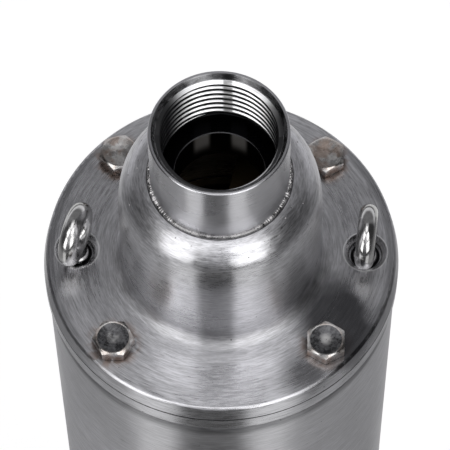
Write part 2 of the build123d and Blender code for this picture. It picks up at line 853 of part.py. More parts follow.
# Pump casing: a tube whose upper end is rolled in over the casing head
with BuildPart() as pump_casing:
    bend_z = ring_z - lip_gap - lip_bend * sin(radians(lip_angle))
    bend_centre = (tube_radius - lip_bend, bend_z)
    with BuildSketch(Plane.XZ):
        with BuildLine():
            Polyline((tube_bore, bend_z), (tube_bore, tube_z), (tube_radius, tube_z), (tube_radius, bend_z))
            outer_bend = CenterArc(bend_centre, lip_bend, 0, lip_angle)
            inner_bend = CenterArc(bend_centre, lip_bend - tube_wall, 0, lip_angle)
            Line(outer_bend @ 1, inner_bend @ 1)
        make_face()
    revolve(axis=Axis.Z)
    for plane in guard_screw_planes():
        with BuildSketch(plane):
            Circle(guard_screw_radius)
        extrude(amount=-2 * (tube_wall + guard_sheet), mode=Mode.SUBTRACT)
save(pump_casing.part, "pump_casing")

# Casing head: the ring under the lid, with a spigot in the tube and tapped holes
with BuildPart() as casing_head:
    groove_inner = o_ring_radius - o_ring_width / 2
    groove_outer = o_ring_radius + o_ring_width / 2
    revolve(outline(
        (head_bore + head_cone, head_z), (tube_bore, head_z), (tube_bore, ring_z - neck_drop),
        (neck_radius, ring_z - neck_drop), (neck_radius, ring_z), (rim_radius, ring_z),
        (rim_radius, head_top - seam_break), (rim_radius - seam_break, head_top),
        (groove_outer, head_top), (groove_outer, head_top - o_ring_height),
        (groove_inner, head_top - o_ring_height), (groove_inner, head_top),
        (seat_radius, head_top), (seat_radius, head_top - seat_thickness),
        (head_bore, head_top - seat_thickness), (head_bore, head_z + head_cone),
    ), axis=Axis.Z)
    rim_edges = casing_head.edges().filter_by(GeomType.CIRCLE).sort_by(SortBy.RADIUS)[-2:]
    fillet(rim_edges.sort_by(Axis.Z)[0], ring_round)
    with BuildSketch(Plane.XY.offset(head_top)):
        with PolarLocations(cover_bolt_circle, cover_bolt_count, cover_bolt_first):
            Circle(cover_bolt_radius)
        with PolarLocations(eye_circle, 2):
            Circle(lifting_shank_radius)
    extrude(amount=-tapped_depth, mode=Mode.SUBTRACT)
save(casing_head.part, "casing_head")

with BuildPart() as cover_o_ring:
    revolve(band(groove_inner, groove_outer, head_top - o_ring_height, head_top), axis=Axis.Z)
save(cover_o_ring.part, "cover_o_ring")

# Discharge cover: lid and dome in one piece, with a short neck under the socket
with BuildPart() as discharge_cover:
    neck_z = ledge_z - neck_length
    foot = dome_foot_round
    with BuildSketch(Plane.XZ):
        with BuildLine():
            Polyline(
                (dome_bore, neck_z - dome_inner_round), (dome_bore, head_top),
                (rim_radius - seam_break, head_top), (rim_radius, head_top + seam_break),
                (rim_radius - lid_draft, lid_top), (dome_radius + foot, lid_top),
            )
            CenterArc((dome_radius + foot, lid_top + foot), foot, 270, -90)
            Line((dome_radius, lid_top + foot), (dome_radius, lid_top + dome_straight))
            CenterArc(
                (dome_radius - dome_lean_radius, lid_top + dome_straight),
                dome_lean_radius, 0, dome_lean,
            )
            CenterArc((socket_radius, shoulder_centre_z), shoulder_round, dome_lean, 90 - dome_lean)
            Polyline(
                (socket_radius, dome_top), (relief_radius, dome_top), (relief_radius, ledge_z),
                (neck_bore, ledge_z), (neck_bore, neck_z), (dome_bore - dome_inner_round, neck_z),
            )
            CenterArc(
                (dome_bore - dome_inner_round, neck_z - dome_inner_round), dome_inner_round, 90, -90
            )
        make_face()
    revolve(axis=Axis.Z)
    rounds = discharge_cover.edges().filter_by(GeomType.CIRCLE)
    lid_edges = rounds.filter_by_position(Axis.Z, lid_top - lid_round / 2, lid_top + lid_round / 2)
    fillet(lid_edges.sort_by(SortBy.RADIUS)[-1], lid_round)
    with BuildSketch(Plane.XY.offset(lid_top)):
        with PolarLocations(cover_bolt_circle, cover_bolt_count, cover_bolt_first):
            Circle(cover_bolt_radius + bolt_gap)
        with PolarLocations(eye_circle, 2):
            Circle(lifting_shank_radius + bolt_gap)
    extrude(amount=-lid_edge, mode=Mode.SUBTRACT)
    with BuildSketch(Plane.XY.offset(lid_top)):
        with PolarLocations(eye_circle, 2):
            Circle(pocket_radius)
    extrude(amount=-pocket_depth, mode=Mode.SUBTRACT)
    with BuildSketch(Plane.XY.offset(lid_top)):
        with PolarLocations(eye_circle, 2):
            Circle(pocket_radius + pocket_chamfer)
    extrude(amount=-pocket_chamfer, taper=45, mode=Mode.SUBTRACT)
save(discharge_cover.part, "discharge_cover")

# Outlet socket: a turned ring with the thread's bore, a relief below it and a chamfered mouth
with BuildPart() as outlet_socket:
    thread_end = socket_top - thread_length
    revolve(outline(
        (relief_radius, dome_top), (socket_radius, dome_top),
        (socket_radius, socket_top - socket_edge), (socket_radius - socket_edge, socket_top),
        (thread_minor_radius + mouth_chamfer, socket_top),
        (thread_minor_radius, socket_top - mouth_chamfer), (thread_minor_radius, thread_end),
        (relief_radius, thread_end - relief_radius + thread_minor_radius),
    ), axis=Axis.Z)
save(outlet_socket.part, "outlet_socket")

# Weld bead in the corner between the socket and the dome's shoulder
with BuildPart() as weld_bead:
    bead_turn = degrees(acos(bead_width / shoulder_round))
    with BuildSketch(Plane.XZ):
        with BuildLine():
            under = CenterArc(
                (socket_radius, shoulder_centre_z), shoulder_round, bead_turn, 90 - bead_turn
            )
            side = Line((socket_radius, dome_top), (socket_radius, dome_top + bead_height))
            crown = (under @ 0 + side @ 1) / 2 + Vector(1, 1) * bead_crown
            ThreePointArc(side @ 1, crown, under @ 0)
        make_face()
    revolve(axis=Axis.Z)
save(weld_bead.part, "weld_bead")

# Cover bolts, one group of hexagon-head bolts
with BuildPart() as cover_bolts:
    with BuildSketch(Plane.XY.offset(lid_top)):
        with PolarLocations(cover_bolt_circle, cover_bolt_count, cover_bolt_first):
            RegularPolygon(cover_bolt_across / 2, 6, major_radius=False)
    extrude(amount=cover_bolt_head)
    with BuildSketch(Plane.XY.offset(lid_top)):
        with PolarLocations(cover_bolt_circle, cover_bolt_count, cover_bolt_first):
            Circle(cover_bolt_radius)
    extrude(amount=-cover_bolt_length)
save(cover_bolts.part, "cover_bolts")

# Lifting eyes: a round ring on a collar and a shank, one at each side of the lid
for name, side, turn in (
    ("lifting_eye_left", -eye_circle, left_eye_turn),
    ("lifting_eye_right", eye_circle, right_eye_turn),
):
    collar_z = lid_top - pocket_depth
    with BuildPart() as lifting_eye:
        with Locations(Location((side, 0, lid_top + lifting_ring_height), (0, 0, turn))):
            Torus(lifting_ring_radius, lifting_rod_radius, rotation=(0, 90, 0))
        with BuildSketch(Plane.XY.offset(lid_top - lifting_shank_length)):
            with Locations((side, 0)):
                Circle(lifting_shank_radius)
        extrude(amount=lifting_shank_length - pocket_depth)
        with BuildSketch(Plane.XY.offset(collar_z)):
            with Locations((side, 0)):
                Circle(lifting_collar_radius)
        extrude(amount=lifting_collar_height)
        with BuildSketch(Plane.XY.offset(collar_z)):
            with Locations((side, 0)):
                Circle(lifting_rod_radius - lifting_neck_inset)
        extrude(amount=pocket_depth + lifting_ring_height - lifting_ring_radius)
    save(lifting_eye.part, name)

# Check valve: seat ring with a raised lip
with BuildPart() as valve_seat:
    seat_z = head_top - seat_thickness
    revolve(outline(
        (seat_bore, seat_z), (seat_radius, seat_z), (seat_radius, head_top),
        (seat_bore + seat_lip, head_top), (seat_bore + seat_lip, seat_top), (seat_bore, seat_top),
    ), axis=Axis.Z)
save(valve_seat.part, "valve_seat")

# Valve seal and poppet, which rise together
with BuildPart() as valve_seal:
    revolve(band(valve_seal_bore, poppet_radius, seat_top, plate_z), axis=Axis.Z)
save(valve_seal.part, "valve_seal")

with BuildPart() as valve_poppet:
    stem_top = cage_top + stem_stand
    revolve(outline(
        (0, seat_top), (valve_seal_bore, seat_top), (valve_seal_bore, plate_z),
        (poppet_radius, plate_z), (poppet_radius, plate_top), (stem_radius, plate_top),
        (stem_radius, stem_top), (0, stem_top),
    ), axis=Axis.Z)
save(valve_poppet.part, "valve_poppet")

# Valve cage: a ring on the seat, three legs, and a guide for the stem
with BuildPart() as valve_cage:
    guide_bore = stem_radius + bush_play
    cage_bore = cage_radius - cage_wall
    revolve(outline(
        (cage_bore, head_top), (cage_radius, head_top), (cage_radius, cage_top),
        (guide_bore, cage_top), (guide_bore, guide_z), (guide_hub_radius, guide_z),
        (guide_hub_radius, cage_plate_z), (cage_bore, cage_plate_z),
    ), axis=Axis.Z)
    with BuildSketch(Plane.XY.offset(head_top + cage_ring)):
        for index in range(cage_windows):
            middle = index * 360 / cage_windows
            left = polar(2 * cage_radius, middle + window_angle / 2)
            right = polar(2 * cage_radius, middle - window_angle / 2)
            Polygon((0, 0), right, left, align=None)
        Circle(guide_hub_radius + cage_wall, mode=Mode.SUBTRACT)
    extrude(amount=cage_height, mode=Mode.SUBTRACT)
save(valve_cage.part, "valve_cage")

# Valve spring between the poppet's plate and the cage
with BuildPart() as valve_spring:
    coil_low = plate_top + spring_wire
    coil_height = cage_plate_z - plate_top - 2 * spring_wire
    with BuildLine() as coil:
        Helix(coil_height / spring_turns, coil_height, spring_radius, center=(0, 0, coil_low))
    with BuildSketch(Plane(coil.line @ 0, z_dir=coil.line % 0)):
        Circle(spring_wire)
    sweep(path=coil.line, is_frenet=True)
save(valve_spring.part, "valve_spring")

# Cable guard: a folded channel on the back of the pump, with two curved feet
with BuildPart() as cable_guard:
    guard_outer = tube_radius + guard_depth + guard_sheet
    with BuildSketch(Plane.XY.offset(guard_z)) as guard_section:
        Circle(guard_radius)
        Rectangle(
            guard_width + 2 * (guard_sheet + guard_foot), guard_outer,
            align=(Align.CENTER, Align.MIN), mode=Mode.INTERSECT,
        )
        Rectangle(guard_width + 2 * guard_sheet, guard_outer, align=(Align.CENTER, Align.MIN))
        fillet(guard_section.vertices().group_by(Axis.Y)[-1], guard_round)
        Rectangle(
            guard_width, tube_radius + guard_depth,
            align=(Align.CENTER, Align.MIN), mode=Mode.SUBTRACT,
        )
        Circle(tube_radius, mode=Mode.SUBTRACT)
    extrude(amount=guard_top - guard_z)
    for plane in guard_screw_planes():
        with BuildSketch(plane):
            Circle(guard_screw_radius)
        extrude(amount=-2 * guard_sheet, mode=Mode.SUBTRACT)
save(cable_guard.part, "cable_guard")

with BuildPart() as guard_screws:
    for plane in guard_screw_planes():
        with BuildSketch(plane):
            Circle(guard_screw_head)
        extrude(amount=guard_screw_head_height)
        with BuildSketch(plane):
            Circle(guard_screw_radius)
        extrude(amount=-(guard_sheet + tube_wall))
save(guard_screws.part, "guard_screws")
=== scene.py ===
import logging
from collections.abc import Callable, Sequence
from dataclasses import dataclass, field
from enum import Enum, IntEnum
from functools import cached_property
from math import cos, pi, radians, sin, sqrt, tan, tau
from typing import ClassVar

import bmesh
import bpy
import numpy as np
from mathutils import Matrix, Vector


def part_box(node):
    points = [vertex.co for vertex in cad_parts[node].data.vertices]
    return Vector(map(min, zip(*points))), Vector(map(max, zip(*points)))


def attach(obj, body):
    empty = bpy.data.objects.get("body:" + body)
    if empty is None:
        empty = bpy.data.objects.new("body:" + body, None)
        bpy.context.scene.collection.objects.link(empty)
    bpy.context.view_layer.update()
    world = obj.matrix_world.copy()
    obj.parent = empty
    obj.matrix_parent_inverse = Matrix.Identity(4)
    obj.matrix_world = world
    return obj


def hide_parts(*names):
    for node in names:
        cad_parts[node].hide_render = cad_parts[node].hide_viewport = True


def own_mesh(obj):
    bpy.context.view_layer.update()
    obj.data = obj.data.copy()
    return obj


# Looks of a borehole submersible pump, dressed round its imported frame.
# Metres, +Z up the pump's axis from the underside of its base, -Y the side photographed.

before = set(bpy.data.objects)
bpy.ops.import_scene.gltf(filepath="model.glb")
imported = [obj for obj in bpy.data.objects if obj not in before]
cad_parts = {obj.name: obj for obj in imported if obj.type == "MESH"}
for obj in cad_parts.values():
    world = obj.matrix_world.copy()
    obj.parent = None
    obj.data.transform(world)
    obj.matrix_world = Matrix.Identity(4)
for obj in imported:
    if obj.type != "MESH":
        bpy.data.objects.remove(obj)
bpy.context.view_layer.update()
MM = 0.001
ROOT = "pump_body"
SMOOTH_ANGLE = radians(32)
WELD_DISTANCE = 1e-7
SHANK_SEGMENTS = 24
HEAD_SEGMENTS = 96
WHITE = (1.0, 1.0, 1.0, 1.0)
VECTOR_LENGTH_OUTPUT = 1
QUARTER_TURNS = tuple(radians(45 + 90 * index) for index in range(4))

log = logging.getLogger("pump")

Mesh = bpy.types.Mesh
Material = bpy.types.Material
Socket = bpy.types.NodeSocket
Tree = bpy.types.NodeTree
Colour = tuple[float, float, float]
Span = tuple[float, float, float, float]
Profile = Sequence[tuple[float, float]]
Array = np.ndarray
Shape = Callable[[Array, Array, Array], tuple[Array, Array]]


class Slot(str, Enum):
    """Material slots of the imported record."""

    CASING = "casing_steel"
    HEAD = "head_steel"
    SOCKET = "socket_steel"
    WELD = "weld_steel"
    BOLT = "bolt_steel"
    EYE = "eye_steel"
    MOTOR = "motor_steel"
    CAST = "cast_steel"
    STRAINER = "strainer_steel"
    SHAFT = "shaft_steel"
    LAMINATION = "lamination_steel"
    COPPER = "winding_copper"
    ALUMINIUM = "rotor_aluminium"
    CARBON = "bearing_carbon"
    RUBBER = "black_rubber"
    IMPELLER = "impeller_plastic"
    BOWL = "bowl_plastic"
    BRASS = "valve_brass"
    SPRING = "spring_steel"


class Grain(Enum):
    """The way a surface was worked."""

    AROUND = "turned or brushed round the axis"
    ALONG = "drawn along the axis"
    CAST = "cast or moulded skin"


class Graph:
    """Adds and links the nodes of one node tree."""

    MIX_SHARE, MIX_FIRST, MIX_SECOND, MIX_RESULT = 0, 6, 7, 2

    def __init__(self, tree: Tree) -> None:
        """Keep the tree that the nodes go in."""
        self.tree = tree

    def node(self, kind: str, inputs: dict | None = None, **settings: object) -> bpy.types.Node:
        """Add a node.

        Args:
            kind: The node's type name.
            inputs: Values or sockets for its inputs, by name or number.
            settings: Properties of the node.

        Returns:
            The new node.
        """
        made = self.tree.nodes.new(kind)
        for name, value in settings.items():
            setattr(made, name, value)
        for key, value in (inputs or {}).items():
            if isinstance(value, Socket):
                self.tree.links.new(value, made.inputs[key])
            else:
                made.inputs[key].default_value = value
        return made

    def math(self, operation: str, *values: object, clamp: bool = False) -> Socket:
        """Add a Math node and return its result."""
        inputs = dict(enumerate(values))
        return self.node("ShaderNodeMath", inputs, operation=operation, use_clamp=clamp).outputs[0]

    def vector(self, operation: str, *values: object) -> Socket:
        """Add a Vector Math node.

        Args:
            operation: The operation's name.
            values: Values or sockets for its inputs.

        Returns:
            The result, a number for a length or a distance.
        """
        output = VECTOR_LENGTH_OUTPUT if operation in ("LENGTH", "DISTANCE") else 0
        made = self.node("ShaderNodeVectorMath", dict(enumerate(values)), operation=operation)
        return made.outputs[output]

    def times(self, first: object, second: object) -> Socket:
        """Return the product of two numbers."""
        return self.math("MULTIPLY", first, second)

    def ramp(self, value: object, low: object, high: object, start: object, end: object) -> Socket:
        """Map a value from one range to another, smoothly and within it.

        Args:
            value: The value or socket to map.
            low: Where the result is start.
            high: Where the result is end.
            start: The result at low.
            end: The result at high.

        Returns:
            The mapped value.
        """
        inputs = {"Value": value, "From Min": low, "From Max": high, "To Min": start, "To Max": end}
        return self.node("ShaderNodeMapRange", inputs, interpolation_type="SMOOTHSTEP").outputs["Result"]

    def mix(self, share: object, first: object, second: object) -> Socket:
        """Mix two colours and return the result."""
        inputs = {self.MIX_SHARE: share, self.MIX_FIRST: first, self.MIX_SECOND: second}
        return self.node("ShaderNodeMix", inputs, data_type="RGBA").outputs[self.MIX_RESULT]

    def split(self, vector: Socket) -> Sequence[Socket]:
        """Return a vector's three parts."""
        return self.node("ShaderNodeSeparateXYZ", {0: vector}).outputs

    def join(self, *parts: object) -> Socket:
        """Return the vector with these parts."""
        return self.node("ShaderNodeCombineXYZ", dict(enumerate(parts))).outputs[0]

    def noise(self, place: Socket, scale: object, detail: float = 3.0, **inputs: float) -> Socket:
        """Add a Noise Texture node and return its height, from 0 to 1."""
        further = {key.capitalize(): value for key, value in inputs.items()}
        return self.node(
            "ShaderNodeTexNoise", {"Vector": place, "Scale": scale, "Detail": detail, **further}
        ).outputs[0]

    def effect(self, group: Tree, **inputs: object) -> Socket:
        """Place a shared effect with its own values, and return what it puts out."""
        named = {key.capitalize(): value for key, value in inputs.items()}
        return self.node("ShaderNodeGroup", named, node_tree=group).outputs[0]

    def close(self, name: str, result: Socket) -> Tree:
        """Give the group its one output, a number.

        Args:
            name: The output's name.
            result: What it puts out.

        Returns:
            The finished tree.
        """
        self.tree.interface.new_socket(name, in_out="OUTPUT", socket_type="NodeSocketFloat")
        self.node("NodeGroupOutput", {name: result})
        return self.tree


def emptied(block: Material | bpy.types.World) -> Graph:
    """Turn on a block's nodes and clear them.

    Args:
        block: The material or world.

    Returns:
        A graph of its tree.
    """
    block.use_nodes = True
    block.node_tree.nodes.clear()
    return Graph(block.node_tree)


def new_group(name: str, **inputs: float | tuple[float, ...]) -> tuple[Graph, Sequence[Socket]]:
    """Start a shader node group that reads a place.

    Args:
        name: The group's name.
        inputs: The default of each further input, a number or a vector, by name.

    Returns:
        A graph of the group's tree, and its inputs by name.
    """
    tree = bpy.data.node_groups.new(name, "ShaderNodeTree")
    for key, value in {"Place": (0.0, 0.0, 0.0), **inputs}.items():
        kind = "NodeSocketVector" if isinstance(value, tuple) else "NodeSocketFloat"
        tree.interface.new_socket(key, in_out="INPUT", socket_type=kind).default_value = value
    graph = Graph(tree)
    return graph, graph.node("NodeGroupInput").outputs


class Effects:
    """Shader node groups that several finishes use, each built once, at its first use."""

    @cached_property
    def around(self) -> Tree:
        """Fine lines that run round the axis, on a side or on a face."""
        graph, given = new_group("grain_around", Across=3000.0, Along=6.0, Wander=0.0)
        place, across = given["Place"], given["Across"]
        flat = graph.vector("MULTIPLY", place, (1.0, 1.0, 0.0))
        reach = graph.vector("LENGTH", flat)
        turn = graph.split(graph.vector("NORMALIZE", flat))
        height = graph.split(place)[2]
        slip = graph.times(graph.noise(place, 60.0, 2.0), given["Wander"])
        spread = graph.join(
            graph.times(graph.math("ADD", reach, slip), across),
            graph.times(graph.math("ADD", height, slip), across),
            graph.times(turn[0], given["Along"]),
        )
        fourth = graph.times(turn[1], given["Along"])
        lines = graph.node(
            "ShaderNodeTexNoise",
            {"Vector": spread, "W": fourth, "Scale": 1.0, "Detail": 3.0, "Roughness": 0.62},
            noise_dimensions="4D",
        )
        return graph.close("Lines", lines.outputs[0])

    @cached_property
    def along(self) -> Tree:
        """Fine lines that run along the axis."""
        graph, given = new_group("grain_along", Across=2500.0, Along=25.0)
        scale = graph.join(given["Across"], given["Across"], given["Along"])
        place = graph.vector("MULTIPLY", given["Place"], scale)
        return graph.close("Lines", graph.noise(place, 1.0, roughness=0.6))

    @cached_property
    def skin(self) -> Tree:
        """Even, fine lumps of a cast, blasted or moulded skin."""
        graph, given = new_group("cast_skin", Across=1800.0)
        return graph.close("Lines", graph.noise(given["Place"], given["Across"], roughness=0.55))

    @cached_property
    def mottle(self) -> Tree:
        """Slow, cloudy change over a surface, from 0 to 1."""
        graph, given = new_group("mottle", Scale=40.0, Low=0.38, High=0.62)
        cloud = graph.noise(given["Place"], given["Scale"], distortion=0.4)
        return graph.close("Cloud", graph.ramp(cloud, given["Low"], given["High"], 0.0, 1.0))

    @cached_property
    def pits(self) -> Tree:
        """Scattered small pits: a share of the cells has one, each of its own size."""
        graph, given = new_group("pits", Scale=260.0, Size=0.1, Share=0.3)
        cells = graph.node(
            "ShaderNodeTexVoronoi", {"Vector": given["Place"], "Scale": given["Scale"]}
        ).outputs
        chance = graph.split(cells["Color"])
        reach = graph.times(given["Size"], chance[1])
        spot = graph.ramp(cells["Distance"], graph.times(reach, 0.5), reach, 1.0, 0.0)
        taken = graph.math("LESS_THAN", chance[0], given["Share"])
        return graph.close("Pits", graph.times(spot, taken))

    @cached_property
    def stain(self) -> Tree:
        """A ragged mark at the same place in each quarter round the axis: a stain, painted shade or a
        painted highlight.
        """
        graph, given = new_group("stain", Centre=(0.03, 0.03, 0.5), Inner=0.005, Outer=0.008, Ragged=0.5)
        quarter = graph.vector("ABSOLUTE", given["Place"])
        away = graph.vector("DISTANCE", quarter, given["Centre"])
        ring = graph.ramp(away, given["Inner"], given["Outer"], 1.0, 0.0)
        start, end = (graph.math(step, given["Ragged"], 0.1) for step in ("SUBTRACT", "ADD"))
        torn = graph.ramp(graph.noise(given["Place"], 320.0), start, end, 0.0, 1.0)
        return graph.close("Stain", graph.times(ring, torn))

    @cached_property
    def band(self) -> Tree:
        """A ring round the axis with soft edges, from 0 to 1."""
        graph, given = new_group("band", Near=0.0, Far=0.01, Low=0.0, High=0.01, Soft=0.0001)
        reach = graph.vector("LENGTH", graph.vector("MULTIPLY", given["Place"], (1.0, 1.0, 0.0)))
        height = graph.split(given["Place"])[2]
        sides = []
        for value, key, before in (
            (reach, "Near", 0.0), (reach, "Far", 1.0), (height, "Low", 0.0), (height, "High", 1.0)
        ):
            start, end = (graph.math(step, given[key], given["Soft"]) for step in ("SUBTRACT", "ADD"))
            sides.append(graph.ramp(value, start, end, before, 1.0 - before))
        round_it, level = graph.times(*sides[:2]), graph.times(*sides[2:])
        return graph.close("Mask", graph.times(round_it, level))


# Spans of the grain's height: where it turns the colour, and where a streaky band shows.
GRAIN_SPAN = (0.28, 0.72)
BROAD_SPAN = (0.3, 0.7)
STREAK_SPAN = (0.36, 0.52)
# The share of a full turn from the grooves' direction to the stretch of what they mirror.
QUARTER_TURN = 0.25
# The broad grain's lines, as shares of the fine grain's, and its wander.
BROAD_ACROSS = 0.16
BROAD_ALONG = 0.35
BROAD_WANDER = 4e-3


@dataclass
class Coat:
    """The nodes of a finish while its marks are laid on it."""

    graph: Graph
    effects: Effects
    place: Socket
    lines: Socket
    cloud: Socket
    colour: Socket
    rough: Socket
    relief: Socket
    depth: float

    def paint(self, mask: Socket, colour: Colour, strength: float = 1.0, rougher: float = 0.0) -> None:
        """Lay a colour where a mask is, and change the roughness there.

        Args:
            mask: Where the mark is, from 0 to 1.
            colour: The mark's colour.
            strength: The colour's share where the mask is 1.
            rougher: What the mark adds to the roughness.
        """
        share = self.graph.times(mask, strength)
        self.colour = self.graph.mix(share, self.colour, (*colour, 1.0))
        if rougher:
            self.rough = self.graph.math("MULTIPLY_ADD", mask, rougher, self.rough)


@dataclass(frozen=True)
class Band:
    """A ring round the axis, between two reaches and two heights, that differs from the rest.

    A strip keeps only what lies round a middle in X, within a half width, at the side of Y that
    its sign names, 0 for both.
    """

    reach: tuple[float, float]
    height: tuple[float, float]
    colour: Colour = (0.006, 0.006, 0.007)
    strength: float = 1.0
    rougher: float = 0.0
    soft: float = 0.08 * MM
    strip: tuple[float, float, int] | None = None
    streaky: bool = False

    def lay(self, coat: Coat) -> None:
        """Lay the band on a coat.

        Args:
            coat: The coat that it changes.
        """
        graph = coat.graph
        mask = graph.effect(
            coat.effects.band, place=coat.place, near=self.reach[0], far=self.reach[1],
            low=self.height[0], high=self.height[1], soft=self.soft,
        )
        if self.strip:
            middle, half, side = self.strip
            across, outward, _ = graph.split(coat.place)
            off = graph.math("ABSOLUTE", graph.math("SUBTRACT", across, middle))
            mask = graph.times(mask, graph.ramp(off, 0.5 * half, half, 1.0, 0.0))
            if side:
                facing = graph.math("GREATER_THAN", graph.times(outward, float(side)), 0.0)
                mask = graph.times(mask, facing)
        if self.streaky:
            mask = graph.times(mask, graph.ramp(coat.lines, *STREAK_SPAN, 0.0, 1.0))
        coat.paint(mask, self.colour, self.strength, self.rougher)


@dataclass(frozen=True)
class Stain:
    """A stain, a ring of painted shade or a painted highlight, round a centre that repeats in each quarter.
    """

    centre: tuple[float, float, float]
    inner: float
    outer: float
    colour: Colour
    strength: float
    ragged: float = 0.5

    def lay(self, coat: Coat) -> None:
        """Lay the mark on a coat."""
        coat.paint(coat.graph.effect(
            coat.effects.stain, place=coat.place, centre=self.centre, inner=self.inner, outer=self.outer,
            ragged=self.ragged,
        ), self.colour, self.strength)


@dataclass(frozen=True)
class PolishAndReflectionPatch:
    """A round area that was polished or rubbed more than the rest: smoother, and darkened by a painted dark
    reflection.
    """

    centre: tuple[float, float, float]
    inner: float
    outer: float
    colour: Colour
    strength: float
    smoother: float
    unevenness: float = 0.3

    def lay(self, coat: Coat) -> None:
        """Lay the patch on a coat, its edge moved by the coat's clouds.

        Args:
            coat: The coat that it changes.
        """
        away = coat.graph.vector("DISTANCE", coat.place, self.centre)
        uneven = coat.graph.math("MULTIPLY_ADD", coat.cloud, self.unevenness * self.outer, away)
        mask = coat.graph.ramp(uneven, self.inner, self.outer, 1.0, 0.0)
        # The colour is a painted dark reflection; the smoother roughness is the real polish.
        coat.paint(mask, self.colour, self.strength, -self.smoother)


@dataclass(frozen=True)
class Pits:
    """Small dark pits, as deep as several times the grain."""

    share: float
    size: float = 0.1
    scale: float = 260.0
    colour: Colour = (0.02, 0.02, 0.022)
    strength: float = 0.8
    depth: float = 6.0

    def lay(self, coat: Coat) -> None:
        """Lay the pits on a coat.

        Args:
            coat: The coat that they change.
        """
        mask = coat.graph.effect(
            coat.effects.pits, place=coat.place, scale=self.scale, size=self.size, share=self.share
        )
        coat.paint(mask, self.colour, self.strength)
        coat.relief = coat.graph.math("MULTIPLY_ADD", mask, -self.depth, coat.relief)


@dataclass(frozen=True)
class Rim:
    """The broken edge of a round pocket at both sides of the axis, with a painted highlight along it and
    painted shade on its floor.
    """

    centre: tuple[float, float, float]
    radius: float
    width: float
    drop: float
    dark_within: float
    soft: float = 0.3 * MM
    dark: Colour = (0.01, 0.01, 0.011)
    painted_highlight: Colour = (0.95, 0.95, 0.96)

    def lay(self, coat: Coat) -> None:
        """Lay the edge, its painted highlight and the floor's painted shade on a coat.

        Args:
            coat: The coat that they change.
        """
        graph, low, high = coat.graph, self.radius - self.width, self.radius + self.width
        away = graph.vector("DISTANCE", graph.vector("ABSOLUTE", coat.place), self.centre)
        fall = graph.ramp(away, low, high, -self.drop / coat.depth, 0.0)
        coat.relief = graph.math("ADD", coat.relief, fall)
        # Painted shade on the pocket's floor.
        coat.paint(graph.ramp(away, self.dark_within, self.dark_within + self.soft, 1.0, 0.0), self.dark)
        # A painted highlight along the broken edge.
        inner = graph.ramp(away, low, self.radius, 0.0, 1.0)
        outer = graph.ramp(away, self.radius, high, 1.0, 0.0)
        coat.paint(graph.times(inner, outer), self.painted_highlight)


